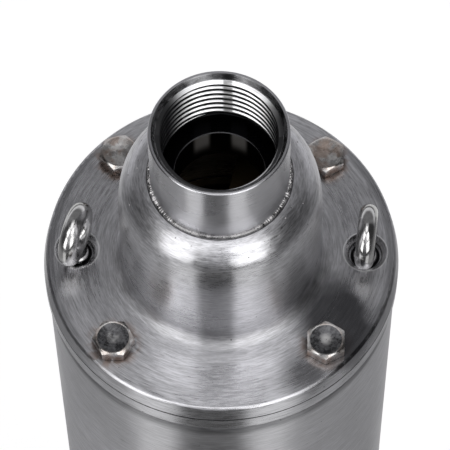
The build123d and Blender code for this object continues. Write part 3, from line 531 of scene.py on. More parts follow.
@dataclass(frozen=True)
class Finish:
    """One finish, built as a material with procedural nodes.

    Across and along are the grain's lines per metre, and wander is how far they stray. Depth is
    the grain's height, shade and broad are how much the fine and the broad grain change the
    colour. Clouds are their scale and how much they change the colour and the roughness. All
    lengths are in metres.
    """

    slot: Slot
    colour: Colour
    roughness: float
    grain: Grain = Grain.CAST
    across: float = 3000.0
    along: float = 6.0
    wander: float = 0.0
    depth: float = 2e-6
    shade: float = 0.08
    broad: float = 0.0
    metallic: float = 1.0
    anisotropy: float = 0.0
    clouds: tuple[float, float, float] = (40.0, 0.06, 0.06)
    marks: tuple[Band | Stain | PolishAndReflectionPatch | Pits | Rim, ...] = ()
    variant: str = ""

    @property
    def name(self) -> str:
        """The material's name."""
        return self.slot.value + (f"_{self.variant}" if self.variant else "")

    def build(self, effects: Effects) -> Material:
        """Build the material.

        Args:
            effects: The shared node groups.

        Returns:
            The new material.
        """
        material = bpy.data.materials.new(self.name)
        graph = emptied(material)
        place = graph.node("ShaderNodeTexCoord").outputs["Object"]
        lines = self.lines(graph, effects, place)
        scale, _, uneven = self.clouds
        cloud = graph.effect(effects.mottle, place=place, scale=scale)
        colour = self.worked_colour(graph, effects, place, lines, cloud)
        cloudy, lined = (graph.math("SUBTRACT", part, 0.5) for part in (cloud, lines))
        rough = graph.math("MULTIPLY_ADD", cloudy, 2 * uneven, self.roughness)
        rough = graph.math("MULTIPLY_ADD", lined, self.shade, rough, clamp=True)
        coat = Coat(graph, effects, place, lines, cloud, colour, rough, lines, self.depth)
        for mark in self.marks:
            mark.lay(coat)
        bump = graph.node(
            "ShaderNodeBump", {"Strength": 1.0, "Distance": self.depth, "Height": coat.relief}
        )
        shader = graph.node(
            "ShaderNodeBsdfPrincipled",
            {"Base Color": coat.colour, "Roughness": coat.rough, "Metallic": self.metallic,
             "Normal": bump.outputs[0]},
        )
        if self.anisotropy:
            shader.inputs["Anisotropic"].default_value = self.anisotropy
            shader.inputs["Anisotropic Rotation"].default_value = QUARTER_TURN
            groove = graph.vector("CROSS_PRODUCT", (0.0, 0.0, 1.0), place)
            graph.tree.links.new(groove, shader.inputs["Tangent"])
        graph.node("ShaderNodeOutputMaterial", {"Surface": shader.outputs[0]})
        return material

    def lines(self, graph: Graph, effects: Effects, place: Socket) -> Socket:
        """Add the grain.

        Args:
            graph: The material's graph.
            effects: The shared node groups.
            place: The object coordinates.

        Returns:
            The grain's height, from 0 to 1.
        """
        if self.grain is Grain.AROUND:
            return graph.effect(
                effects.around, place=place, across=self.across, along=self.along, wander=self.wander
            )
        if self.grain is Grain.ALONG:
            return graph.effect(effects.along, place=place, across=self.across, along=self.along)
        return graph.effect(effects.skin, place=place, across=self.across)

    def worked_colour(
        self, graph: Graph, effects: Effects, place: Socket, lines: Socket, cloud: Socket
    ) -> Socket:
        """Shade the colour by the clouds and the grain.

        Args:
            graph: The material's graph.
            effects: The shared node groups.
            place: The object coordinates.
            lines: The grain's height.
            cloud: The clouds, from 0 to 1.

        Returns:
            The colour before any mark.
        """
        low, high = (
            (*(min(1.0, part * (1 + change)) for part in self.colour), 1.0)
            for change in (-self.clouds[1], self.clouds[1])
        )
        level = graph.ramp(lines, *GRAIN_SPAN, 1.0 - self.shade, 1.0 + self.shade)
        if self.broad:
            wide = graph.effect(
                effects.around, place=place, across=BROAD_ACROSS * self.across,
                along=BROAD_ALONG * self.along, wander=BROAD_WANDER,
            )
            broad = graph.ramp(wide, *BROAD_SPAN, 1.0 - self.broad, 1.0 + self.broad)
            level = graph.times(level, broad)
        mixed = graph.mix(cloud, low, high)
        return graph.node("ShaderNodeVectorMath", {0: mixed, "Scale": level}, operation="SCALE").outputs[0]


def low_of(node: str) -> float:
    """Return the height of a node's lowest point."""
    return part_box(node)[0].z


def top_of(node: str) -> float:
    """Return the height of a node's highest point."""
    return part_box(node)[1].z


def reach_of(node: str) -> float:
    """Return how far a node reaches along +X."""
    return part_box(node)[1].x


# Places on the head that the pieces and the marks share.
BOLT_LENGTH = 16.0 * MM
HEAD_TOP = low_of("discharge_cover")
RING_LOW = HEAD_TOP - 5.7 * MM
LID_TOP = low_of("cover_bolts") + BOLT_LENGTH
RIM = reach_of("discharge_cover")
BOLT_CIRCLE = RIM - 8.4 * MM
EYE_CIRCLE = RIM - 9.3 * MM
QUARTER = BOLT_CIRCLE * cos(radians(45))
DOME = RIM - 21.6 * MM
NECK = 12.0 * MM
SOCKET_LOW = low_of("outlet_socket")
SOCKET_TOP = top_of("outlet_socket")
SOCKET_REACH = reach_of("outlet_socket")
LEDGE = SOCKET_LOW + 1.3 * MM
THREAD = 15.146 * MM
# A reach that takes in the whole bore.
BORE = 18.0 * MM

# Beyond the whole pump, to leave a band open at that end.
OUTSIDE = 0.06
ABOVE = 0.6
WHOLE_BORE = ((0.0, BORE), (SOCKET_LOW, ABOVE))

STEEL = (0.56, 0.558, 0.577)
TEA = (0.30, 0.17, 0.10)
# Painted shade for the ring round each bolt's foot.
BOLT_FOOT_SHADE = (0.06, 0.055, 0.055)
# Painted shade and painted dark reflection inside the thread.
PAINTED_DARK = (0.04, 0.04, 0.042)
BOLT_SEAT = (QUARTER, QUARTER, LID_TOP)

HEAD_MARKS = (
    # Stains round the bolts, and a ring of painted shade at each bolt's foot.
    Stain(BOLT_SEAT, 5.4 * MM, 8.6 * MM, TEA, 0.55, 0.48),
    Stain(BOLT_SEAT, 5.2 * MM, 6.6 * MM, BOLT_FOOT_SHADE, 0.6, 0.42),
    # Smoother, polished areas at the front right, darkened by a painted dark reflection.
    PolishAndReflectionPatch((31 * MM, -20 * MM, LID_TOP), 11 * MM, 20 * MM, (0.07, 0.07, 0.075), 0.9, 0.12),
    PolishAndReflectionPatch((23 * MM, -37 * MM, LID_TOP), 5 * MM, 14 * MM, (0.12, 0.12, 0.125), 0.75, 0.1),
    # Painted shade on the neck below the ledge, with two painted highlight streaks.
    Band((NECK - 1 * MM, NECK + 0.3 * MM), (LEDGE - 12 * MM, LEDGE), rougher=0.1),
    *(
        Band((0.0, 16 * MM), (LEDGE - 7 * MM, LEDGE + 2 * MM), (0.46, 0.44, 0.42), 0.97, 0.24, 3 * MM,
             (middle, 2.7 * MM, 1))
        for middle in (-4.9 * MM, 4.9 * MM)
    ),
    # Painted shade on the ledge, and a faint painted highlight on its inside edge.
    Band((NECK + 0.05 * MM, 17 * MM), (LEDGE - 0.5 * MM, ABOVE)),
    Band((NECK - 0.5 * MM, NECK + 0.25 * MM), (LEDGE - 0.3 * MM, LEDGE + 0.3 * MM), (0.22, 0.22, 0.23),
         0.8, 0.3, strip=(-1 * MM, 12 * MM, 1)),
    # The dark joint line, a painted dark reflection on the lid's edge at the left and right, and painted
    # shade at the ring's foot.
    Band((48 * MM, OUTSIDE), (HEAD_TOP - 0.3 * MM, HEAD_TOP + 0.3 * MM)),
    *(
        Band((46 * MM, OUTSIDE), (LID_TOP - 4.4 * MM, LID_TOP + 1 * MM), (0.2, 0.2, 0.21), 0.5,
             soft=0.5 * MM, strip=(middle, 14 * MM, 0))
        for middle in (-46 * MM, 46 * MM)
    ),
    Band((46 * MM, OUTSIDE), (RING_LOW - 1 * MM, RING_LOW + 0.3 * MM), strength=0.8),
    # Painted shade at the weld's toe, the dome's duller foot, and a painted dark reflection down the dome's
    # front.
    Band((SOCKET_REACH + 0.75 * MM, SOCKET_REACH + 1.05 * MM), (SOCKET_LOW - 1.5 * MM, ABOVE),
         strength=0.85),
    Band((DOME - 0.5 * MM, DOME + 6.5 * MM), (LID_TOP - 1 * MM, LID_TOP + 5 * MM), strength=0.0,
         rougher=0.2, soft=1.5 * MM),
    Band((15 * MM, DOME + 4 * MM), (LID_TOP + 0.2 * MM, LID_TOP + 36 * MM), (0.1, 0.1, 0.105), 0.5,
         soft=2 * MM, strip=(-0.8 * MM, 6.2 * MM, -1)),
    Pits(0.4, 0.12, 430.0),
    # The eyes' pockets: a broken edge, its painted highlight and painted shade on their floor.
    Rim((EYE_CIRCLE, 0.0, LID_TOP), 6.05 * MM, 0.4 * MM, 0.03 * MM, 4.7 * MM),
)

# The shadow in the groove under the ring.
CASING_MARKS = (
    Band((46 * MM, OUTSIDE), (RING_LOW - 2.1 * MM, ABOVE), strength=0.93, soft=0.3 * MM),
    Band((46 * MM, OUTSIDE), (RING_LOW - 5 * MM, ABOVE), strength=0.5, soft=1.8 * MM),
    Pits(0.16, 0.12, 360.0),
)

# The shaded front of the weld.
WELD_MARKS = (
    Band((0.0, OUTSIDE), (SOCKET_LOW - 2 * MM, ABOVE), (0.12, 0.12, 0.125), 0.5, strip=(0.0, 17 * MM, -1)),
    Pits(0.35, 0.3, 900.0),
)

# The bolts' stained foot, and painted shade on their sides.
BOLT_MARKS = (
    Stain(BOLT_SEAT, 5.0 * MM, 7.6 * MM, TEA, 0.5),
    Band((0.0, OUTSIDE), (LID_TOP + 0.4 * MM, LID_TOP + 2.7 * MM), (0.17, 0.13, 0.115), 0.6, soft=0.3 * MM),
    Pits(0.15, 0.12, 700.0),
)

# The thread's painted shade: dark crests, dark sides and front, and a painted dark reflection at the back.
THREAD_MARKS = (
    Band((0.0, THREAD + 0.22 * MM), (SOCKET_LOW, SOCKET_TOP - 1.6 * MM), strength=0.98, soft=0.04 * MM),
    Band(*WHOLE_BORE, PAINTED_DARK, 0.94, strip=(-19 * MM, 10.8 * MM, 1)),
    Band(*WHOLE_BORE, PAINTED_DARK, 0.94, strip=(22 * MM, 10.9 * MM, 1)),
    Band((0.0, BORE), (SOCKET_TOP - 2.4 * MM, ABOVE), PAINTED_DARK, 0.97, strip=(0.0, 60 * MM, -1)),
    Band(*WHOLE_BORE, (0.1, 0.1, 0.1), 0.85, strip=(2 * MM, 1.6 * MM, 1), streaky=True),
)

FINISHES: dict[Slot, Finish] = {finish.slot: finish for finish in (
    Finish(
        Slot.CASING, STEEL, 0.36, Grain.AROUND, across=2800.0, along=9.0, wander=3e-4, shade=0.22,
        broad=0.03, anisotropy=0.5, clouds=(18.0, 0.07, 0.04), marks=CASING_MARKS,
    ),
    Finish(
        Slot.HEAD, STEEL, 0.31, Grain.AROUND, along=10.0, wander=3e-4, depth=3.2e-6, shade=0.27, broad=0.03,
        anisotropy=0.5, clouds=(32.0, 0.08, 0.05), marks=HEAD_MARKS,
    ),
    Finish(
        Slot.SOCKET, STEEL, 0.3, Grain.AROUND, across=3200.0, along=4.0, depth=1.5e-6, anisotropy=0.5,
        clouds=(45.0, 0.05, 0.05), marks=(Pits(0.08),),
    ),
    Finish(
        Slot.WELD, (0.5, 0.49, 0.49), 0.3, across=2600.0, depth=2.5e-5, shade=0.3,
        clouds=(420.0, 0.4, 0.1), marks=WELD_MARKS,
    ),
    Finish(
        Slot.BOLT, (0.5, 0.49, 0.48), 0.26, across=1300.0, depth=1.5e-5, shade=0.2,
        clouds=(260.0, 0.18, 0.1), marks=BOLT_MARKS,
    ),
    Finish(
        Slot.EYE, (0.52, 0.515, 0.51), 0.17, across=900.0, depth=1.2e-5, shade=0.1,
        clouds=(200.0, 0.1, 0.05), marks=(Pits(0.15, 0.1, 600.0),),
    ),
    Finish(
        Slot.MOTOR, STEEL, 0.33, Grain.AROUND, across=2600.0, along=5.0, depth=1.2e-6, shade=0.06,
        anisotropy=0.5, clouds=(16.0, 0.04, 0.04), marks=(Pits(0.05),),
    ),
    Finish(
        Slot.CAST, (0.40, 0.40, 0.41), 0.5, across=1500.0, depth=4e-5, shade=0.2,
        clouds=(60.0, 0.1, 0.06), marks=(Pits(0.2, 0.2, 500.0),),
    ),
    Finish(
        Slot.STRAINER, (0.47, 0.47, 0.485), 0.34, Grain.ALONG, across=1600.0, along=30.0,
        clouds=(30.0, 0.06, 0.06),
    ),
    Finish(
        Slot.SHAFT, (0.56, 0.56, 0.57), 0.18, Grain.AROUND, across=4000.0, along=3.0, depth=1e-6,
        shade=0.06,
    ),
    Finish(
        Slot.LAMINATION, (0.20, 0.21, 0.23), 0.45, Grain.AROUND, across=2000.0, along=0.2, depth=4e-5,
        shade=0.45, clouds=(25.0, 0.06, 0.06),
    ),
    Finish(
        Slot.COPPER, (0.55, 0.21, 0.09), 0.3, Grain.AROUND, across=1100.0, along=2.0, wander=2e-3,
        depth=2e-4, shade=0.4, clouds=(60.0, 0.06, 0.06),
    ),
    Finish(Slot.ALUMINIUM, (0.66, 0.66, 0.67), 0.42, across=900.0, depth=4e-5, shade=0.15),
    Finish(Slot.CARBON, (0.035, 0.035, 0.038), 0.4, Grain.AROUND, along=4.0, shade=0.2, metallic=0.0),
    Finish(
        Slot.RUBBER, (0.022, 0.022, 0.024), 0.7, across=1400.0, depth=2e-5, shade=0.25, metallic=0.0,
        clouds=(90.0, 0.2, 0.06),
    ),
    Finish(
        Slot.IMPELLER, (0.035, 0.037, 0.041), 0.42, across=1600.0, depth=1e-5, shade=0.15, metallic=0.0,
        clouds=(70.0, 0.15, 0.06),
    ),
    Finish(
        Slot.BOWL, (0.62, 0.60, 0.53), 0.45, across=1500.0, depth=1e-5, shade=0.06, metallic=0.0,
        clouds=(60.0, 0.05, 0.06),
    ),
    Finish(Slot.BRASS, (0.05, 0.037, 0.02), 0.55, Grain.AROUND, across=3200.0, along=3.0, shade=0.1),
    Finish(Slot.SPRING, (0.6, 0.6, 0.61), 0.16, across=2400.0, depth=4e-6, shade=0.1),
)}

# Painted shade in the bore below the thread: a near-black copy of the socket steel.
BORE_SHADE = Finish(
    Slot.SOCKET, (0.012, 0.012, 0.013), 0.5, across=2600.0, depth=6e-6, shade=0.2,
    clouds=(150.0, 0.3, 0.06), variant="grimy",
)
MACHINED = Finish(
    Slot.SOCKET, (0.93, 0.93, 0.94), 0.36, Grain.AROUND, across=5200.0, along=2.0, depth=1.5e-6, shade=0.07,
    clouds=(120.0, 0.06, 0.03), marks=THREAD_MARKS, variant="machined",
)
# The lead-in cone: a darker copy of the socket steel, a painted dark reflection.
LEAD_IN = Finish(
    Slot.SOCKET, (0.17, 0.17, 0.175), 0.24, Grain.AROUND, across=2400.0, along=9.0, depth=3e-6, shade=0.35,
    clouds=(160.0, 0.45, 0.06), variant="lead_in",
)
# The front bolts' tops: a darker copy of the bolt steel, a painted dark reflection, with a painted
# highlight in the middle.
BOLT_TOP_DARK_REFLECTION = Finish(
    Slot.BOLT, (0.13, 0.13, 0.135), 0.3, across=1500.0, depth=2e-5, shade=0.4,
    clouds=(300.0, 0.3, 0.06), variant="top", marks=(
        Stain((QUARTER, QUARTER, LID_TOP + 4 * MM), 0.4 * MM, 2.3 * MM, (0.75, 0.74, 0.73), 0.85, 0.42),
    ),
)


@dataclass
class Palette:
    """Every material of the pump, built once."""

    effects: Effects = field(default_factory=Effects)
    made: dict[str, Material] = field(default_factory=dict)

    def of(self, finish: Finish) -> Material:
        """Return a finish's material, built at its first use."""
        if finish.name not in self.made:
            self.made[finish.name] = finish.build(self.effects)
        return self.made[finish.name]

    def slot(self, slot: Slot) -> Material:
        """Return the main material of a slot."""
        return self.of(FINISHES[slot])

    def dress_frame(self) -> None:
        """Give every node of the frame the material of its slot."""
        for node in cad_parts.values():
            for place in node.material_slots:
                place.material = self.slot(Slot(place.material.name.split(".")[0]))


def turned(profile: Profile, segments: int, shape: Shape | None = None) -> Mesh:
    """Turn a closed section round the axis.

    Args:
        profile: Corners of the section as (radius, height).
        segments: Steps round the axis.
        shape: Optional change of the radii and heights, given the turn of each point.

    Returns:
        A closed mesh whose faces point outwards.
    """
    section = np.array(profile, dtype=float)
    turns = np.arange(segments) * tau / segments
    radius, turn = np.meshgrid(section[:, 0], turns)
    height = np.tile(section[:, 1], (segments, 1))
    if shape:
        radius, height = shape(radius, height, turn)
    points = np.stack([radius * np.cos(turn), radius * np.sin(turn), height], axis=-1).reshape(-1, 3)
    count = len(section)
    column, row = np.meshgrid(np.arange(segments), np.arange(count), indexing="ij")
    beside, above = (column + 1) % segments, (row + 1) % count
    corners = ((column, row), (beside, row), (beside, above), (column, above))
    faces = np.stack([line * count + ring for line, ring in corners], axis=-1).reshape(-1, 4)
    mesh = bpy.data.meshes.new("made")
    mesh.from_pydata(points.tolist(), [], faces.tolist())
    shell = bmesh.new()
    shell.from_mesh(mesh)
    bmesh.ops.remove_doubles(shell, verts=shell.verts, dist=WELD_DISTANCE)
    bmesh.ops.dissolve_degenerate(shell, edges=shell.edges, dist=WELD_DISTANCE)
    bmesh.ops.recalc_face_normals(shell, faces=shell.faces)
    shell.to_mesh(mesh)
    shell.free()
    return mesh


def soften(mesh: Mesh, angle: float = SMOOTH_ANGLE) -> None:
    """Shade a mesh smooth, with its edges over the angle sharp."""
    mesh.shade_smooth()
    mesh.set_sharp_from_angle(angle=angle)


def joined(*meshes: Mesh) -> Mesh:
    """Join several meshes in one."""
    shell = bmesh.new()
    for mesh in meshes:
        shell.from_mesh(mesh)
    whole = bpy.data.meshes.new("joined")
    shell.to_mesh(whole)
    shell.free()
    return whole


def linked(name: str, data: bpy.types.ID) -> bpy.types.Object:
    """Make an object and link it to the scene.

    Args:
        name: The object's name.
        data: Its mesh, light or camera.

    Returns:
        The new object.
    """
    made = bpy.data.objects.new(name, data)
    bpy.context.scene.collection.objects.link(made)
    return made


def evaluated(holder: bpy.types.Object) -> Mesh:
    """Take what an object's modifiers make, and remove the object.

    Args:
        holder: The object.

    Returns:
        A plain mesh.
    """
    mesh = bpy.data.meshes.new_from_object(holder.evaluated_get(bpy.context.evaluated_depsgraph_get()))
    bpy.data.objects.remove(holder)
    return mesh


def piece(
    name: str, mesh: Mesh, materials: Sequence[Material], slot: Slot, *nodes: str, body: str = ROOT
) -> bpy.types.Object:
    """Put a finished piece in the scene.

    Args:
        name: The piece's name.
        mesh: Its mesh, in its place.
        materials: Its materials, in the order of the faces' material numbers.
        slot: The record's slot of its finish, not used.
        nodes: Nodes of the frame that it stands for.
        body: The body that carries it.

    Returns:
        The new object.
    """
    mesh.name = name
    numbers = np.zeros(len(mesh.polygons), dtype=np.int32)
    mesh.polygons.foreach_get("material_index", numbers)
    mesh.materials.clear()
    for material in materials:
        mesh.materials.append(material)
    mesh.polygons.foreach_set("material_index", numbers)
    made = linked(name, mesh)
    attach(made, body)
    if nodes:
        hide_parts(*nodes)
    log.info("%s: %d faces on %s", name, len(mesh.polygons), body)
    return made


def quarter_spots(circle: float, height: float = 0.0) -> list[Vector]:
    """Return the four places of the bolts on a circle."""
    return [Vector((circle * cos(turn), circle * sin(turn), height)) for turn in QUARTER_TURNS]


@dataclass(frozen=True)
class Thread:
    """A right-handed screw thread with flat crests and roots."""

    pitch: float
    minor: float
    major: float
    low: float
    high: float
    steps: int = 8
    low_flat: float = 1 / 6
    high_flat: float = 1 / 6
    lead: float = 0.0

    def rings(self) -> list[float]:
        """Return the heights of the rings that carry the thread, from the lowest up."""
        count = round((self.high - self.low) / self.pitch * self.steps)
        return [self.low + (self.high - self.low) * index / count for index in range(count + 1)]

    def radius(self, height: Array, turn: Array) -> Array:
        """Return the thread's radius.

        Args:
            height: The heights at which it is read.
            turn: The turns at which it is read.

        Returns:
            The radius at each.
        """
        phase = (height / self.pitch - turn / tau + self.lead) % 1.0
        slope = 1 - self.low_flat - self.high_flat
        wave = np.clip(((1 - np.abs(2 * phase - 1)) - self.low_flat) / slope, 0, 1)
        return self.minor + (self.major - self.minor) * wave

    def shank(self, plain: float = 0.0, point: float = 0.6 * MM) -> Mesh:
        """Make a shank with this thread outside.

        Args:
            plain: Length without a thread above it.
            point: Chamfer of the free ends.

        Returns:
            A closed mesh about the axis.
        """
        major, top = self.major, self.high + plain
        wall = [(major, height) for height in self.rings()]
        profile = [(0.0, self.low), *wall, (major - 1e-6, top), (0.0, top)]

        def cut(radius: Array, height: Array, turn: Array) -> tuple[Array, Array]:
            wound = np.isclose(radius, major, atol=1e-8)
            lower = major - point + (height - self.low)
            pointed = np.minimum(lower, major if plain else major - point + (top - height))
            wanted = np.minimum(self.radius(height, turn), np.maximum(pointed, 0.5 * self.minor))
            return np.where(wound, wanted, radius), height

        return turned(profile, SHANK_SEGMENTS, cut)


class Growth:
    """A Geometry Nodes tree that grows a plain mesh with a finish."""

    def __init__(self, name: str, **inputs: str) -> None:
        """Start the tree.

        Args:
            name: The tree's name.
            inputs: The kind of each input besides its geometry and its finish, by name.
        """
        tree = bpy.data.node_groups.new(name, "GeometryNodeTree")
        face = tree.interface
        face.new_socket("Geometry", in_out="OUTPUT", socket_type="NodeSocketGeometry")
        self.keys = {
            key: face.new_socket(key, in_out="INPUT", socket_type=f"NodeSocket{kind}").identifier
            for key, kind in {"Geometry": "Geometry", **inputs, "Finish": "Material"}.items()
        }
        self.graph = Graph(tree)
        self.given = self.graph.node("NodeGroupInput").outputs

    def close(self, geometry: Socket) -> None:
        """Realize the geometry's instances, give it its finish and put it out.

        Args:
            geometry: What the tree's nodes made.
        """
        whole = self.graph.node("GeometryNodeRealizeInstances", {"Geometry": geometry}).outputs[0]
        inputs = {"Geometry": whole, "Material": self.given["Finish"]}
        dressed = self.graph.node("GeometryNodeSetMaterial", inputs)
        self.graph.node("NodeGroupOutput", {"Geometry": dressed.outputs[0]})

    def grow(self, mesh: Mesh, **values: object) -> Mesh:
        """Run the tree.

        Args:
            mesh: The mesh that it starts from.
            values: What its inputs are set to, by name.

        Returns:
            The mesh that it ends with.
        """
        holder = linked("holder", mesh)
        modifier = holder.modifiers.new("growth", "NODES")
        modifier.node_group = self.graph.tree
        for name, value in values.items():
            modifier[self.keys[name]] = value
        return evaluated(holder)


class Repeater(Growth):
    """Puts one pattern piece at every point of a mesh."""

    TURN = "turn"

    def __init__(self) -> None:
        """Build the tree."""
        super().__init__("repeat_pattern", Pattern="Object")
        shape = self.graph.node("GeometryNodeObjectInfo", {"Object": self.given["Pattern"]})
        turn = self.graph.node(
            "GeometryNodeInputNamedAttribute", {"Name": self.TURN}, data_type="FLOAT_VECTOR"
        )
        turned_by = next(out for out in turn.outputs if out.enabled and out.name == "Attribute")
        self.close(self.graph.node("GeometryNodeInstanceOnPoints", {
            "Points": self.given["Geometry"], "Instance": shape.outputs["Geometry"], "Rotation": turned_by,
        }).outputs[0])

    def spread(
        self, pattern: Mesh, spots: Sequence[Vector], turns: Sequence[Vector], finish: Material
    ) -> Mesh:
        """Repeat a pattern and return the result as one plain mesh.

        Args:
            pattern: The mesh to repeat, about its own origin.
            spots: Where each copy goes.
            turns: The Euler turn of each copy, in radians.
            finish: The material of the copies.

        Returns:
            One mesh with every copy in its place.
        """
        source = linked("pattern", pattern)
        points = bpy.data.meshes.new("points")
        points.from_pydata([tuple(spot) for spot in spots], [], [])
        angles = points.attributes.new(self.TURN, "FLOAT_VECTOR", "POINT")
        angles.data.foreach_set("vector", np.array([tuple(turn) for turn in turns]).ravel())
        whole = self.grow(points, Pattern=source, Finish=finish)
        bpy.data.objects.remove(source)
        return whole


@dataclass
class Assembly:
    """A sub-assembly, with what it takes its finishes and its repeated patterns from."""

    palette: Palette
    repeater: Repeater


def ripple(turn: Array, waves: Sequence[int], seed: int) -> Array:
    """Make a closed, uneven wave round the axis, between about -1 and 1.

    Args:
        turn: The turns at which it is read.
        waves: How many times each of its parts repeats in a full turn.
        seed: Fixed seed of the parts' places.

    Returns:
        The wave's height at each turn.
    """
    places = np.random.default_rng(seed).uniform(0, tau, len(waves))
    return sum(np.cos(wave * turn + place) for wave, place in zip(waves, places)) / sqrt(len(waves))


class Wall(IntEnum):
    """Material numbers of the outlet socket's faces."""

    PLAIN = 0
    THREADED = 1
    BELOW = 2
    MOUTH = 3


@dataclass
class Outlet(Assembly):
    """The threaded socket at the top, the bead that welds it on and the spatter beside it."""

    pitch: float = 2.309 * MM
    minor: float = THREAD
    depth: float = 1.479 * MM
    relief: float = 16.7 * MM
    mouth: Profile = (
        (0.0, 2.45 * MM), (0.12 * MM, 2.33 * MM), (1.45 * MM, 1.49 * MM), (1.9 * MM, 0.1 * MM),
        (3.4 * MM, 0.0),
    )
    crest: float = 0.3
    root: float = 0.05
    lead: float = 0.27
    thread_length: float = 17.5 * MM
    edge: float = 0.4 * MM
    bead: float = 0.8 * MM
    bead_start: float = -16.0
    bead_sweep: float = 122.0
    bead_steps: int = 14
    overlap: float = 0.5 * MM
    swell: float = 0.92
    side_swell: float = 0.12
    scales: tuple[int, ...] = (204, 167, 141)
    scale_height: float = 0.12
    scale_seed: int = 3
    lumps: tuple[int, ...] = (17, 23, 31, 43, 59)
    lump_height: float = 0.10
    lump_seed: int = 5
    segments: int = 192
    bead_segments: int = 720
    droplets: int = 26
    droplet_seed: int = 11
    droplet_reach: tuple[float, float] = (1.9, 6.5)
    droplet_size: tuple[float, float] = (0.12, 0.3)
    droplet_side: float = 0.9
    droplet: Profile = ((0.0, -0.3), (0.8, -0.3), (0.97, 0.0), (0.8, 0.42), (0.42, 0.66), (0.0, 0.74))
    low: float = SOCKET_LOW
    top: float = SOCKET_TOP
    radius: float = SOCKET_REACH

    def socket_mesh(self) -> Mesh:
        """Return the socket with a true helical thread inside."""
        start = self.top - self.thread_length - (self.relief - self.minor)
        thread = Thread(
            self.pitch, self.minor, self.minor + self.depth, start, self.top, 20, self.crest, self.root,
            self.lead,
        )
        rings = [(self.minor, height) for height in reversed(thread.rings())]
        edge = [
            (self.radius - self.edge * (1 - cos(turn)), self.top - self.edge * (1 - sin(turn)))
            for turn in (radians(15 * step) for step in range(7))
        ]
        profile = [(self.relief, self.low), (self.radius, self.low), *edge, *rings]

        def cut(radius: Array, height: Array, turn: Array) -> tuple[Array, Array]:
            inner = np.isclose(radius, self.minor)
            mouth = self.minor + np.interp(self.top - height, *zip(*self.mouth))
            cut_in = np.maximum(thread.radius(height, turn), mouth)
            runout = self.minor + (self.top - self.thread_length - height)
            return np.where(inner, np.maximum(cut_in, runout), radius), height

        mesh = turned(profile, self.segments, cut)
        for face in mesh.polygons:
            down = self.top - face.center.z
            if down > 0.01 * MM and face.center.xy.length < self.minor + self.mouth[0][1]:
                below = Wall.BELOW if down > self.thread_length else Wall.THREADED
                face.material_index = Wall.MOUTH if down < self.mouth[2][0] else below
        soften(mesh, radians(24))
        return mesh

    def bead_mesh(self) -> Mesh:
        """Return the weld bead, smooth in front and rougher at the sides."""
        arc = [
            radians(self.bead_start + self.bead_sweep * step / self.bead_steps)
            for step in range(self.bead_steps + 1)
        ]
        profile = [(self.radius + self.bead * cos(turn), self.low + self.bead * sin(turn)) for turn in arc]
        inside = self.radius - self.overlap
        profile += [(inside, self.low + self.bead), (inside, self.low - self.overlap)]

        def lump(radius: Array, height: Array, turn: Array) -> tuple[Array, Array]:
            # From 0 in front and behind to 1 at the left and right.
            side = np.clip(np.abs(np.cos(turn)) * 2.2 - 1.2, 0, 1)
            scales = self.scale_height * ripple(turn, self.scales, self.scale_seed) * side
            lumps = self.lump_height * ripple(turn, self.lumps, self.lump_seed) * side
            swell = self.swell + scales + lumps + self.side_swell * side
            out, up = radius - self.radius, height - self.low
            free = (out > 0.05 * MM - self.overlap) & (np.hypot(out, up) > 0.9 * self.bead)
            swell = np.where(free, swell, 1.0)
            return self.radius + out * swell, self.low + np.where(up > 0, up * swell, up)

        mesh = turned(profile, self.bead_segments, lump)
        soften(mesh, radians(60))
        return mesh

    def spatter_mesh(self) -> Mesh:
        """Return small droplets that lie on the dome beside the bead, more of them at its sides."""
        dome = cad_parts["discharge_cover"]
        chance = np.random.default_rng(self.droplet_seed)
        spots, turns, sizes = [], [], []
        while len(spots) < self.droplets:
            turn, reach = chance.uniform(0, tau), self.radius + chance.uniform(*self.droplet_reach) * MM
            if abs(cos(turn)) < chance.uniform(0, self.droplet_side):
                continue
            start = Vector((reach * cos(turn), reach * sin(turn), self.top))
            hit, where, normal, _ = dome.ray_cast(start, Vector((0, 0, -1)))
            if hit:
                spots.append(where)
                turns.append(normal.to_track_quat("Z", "Y").to_euler())
                sizes.append(chance.uniform(*self.droplet_size) * MM)
        drop = turned(self.droplet, 10)
        drop.transform(Matrix.Scale(float(np.mean(sizes)), 4))
        soften(drop, radians(80))
        return self.repeater.spread(drop, spots, turns, self.palette.slot(Slot.WELD))

    def dress(self) -> None:
        """Put the socket, the bead and the spatter in the scene."""
        # The bore below the thread and the lead-in take darker copies: painted shade and a painted dark
        # reflection.
        finishes = [self.palette.slot(Slot.SOCKET), *map(self.palette.of, (MACHINED, BORE_SHADE, LEAD_IN))]
        piece("outlet_socket_threaded", self.socket_mesh(), finishes, Slot.SOCKET, "outlet_socket")
        weld = self.palette.slot(Slot.WELD)
        piece("weld_bead_rippled", self.bead_mesh(), (weld,), Slot.WELD, "weld_bead")
        piece("weld_spatter", self.spatter_mesh(), (weld,), Slot.WELD)


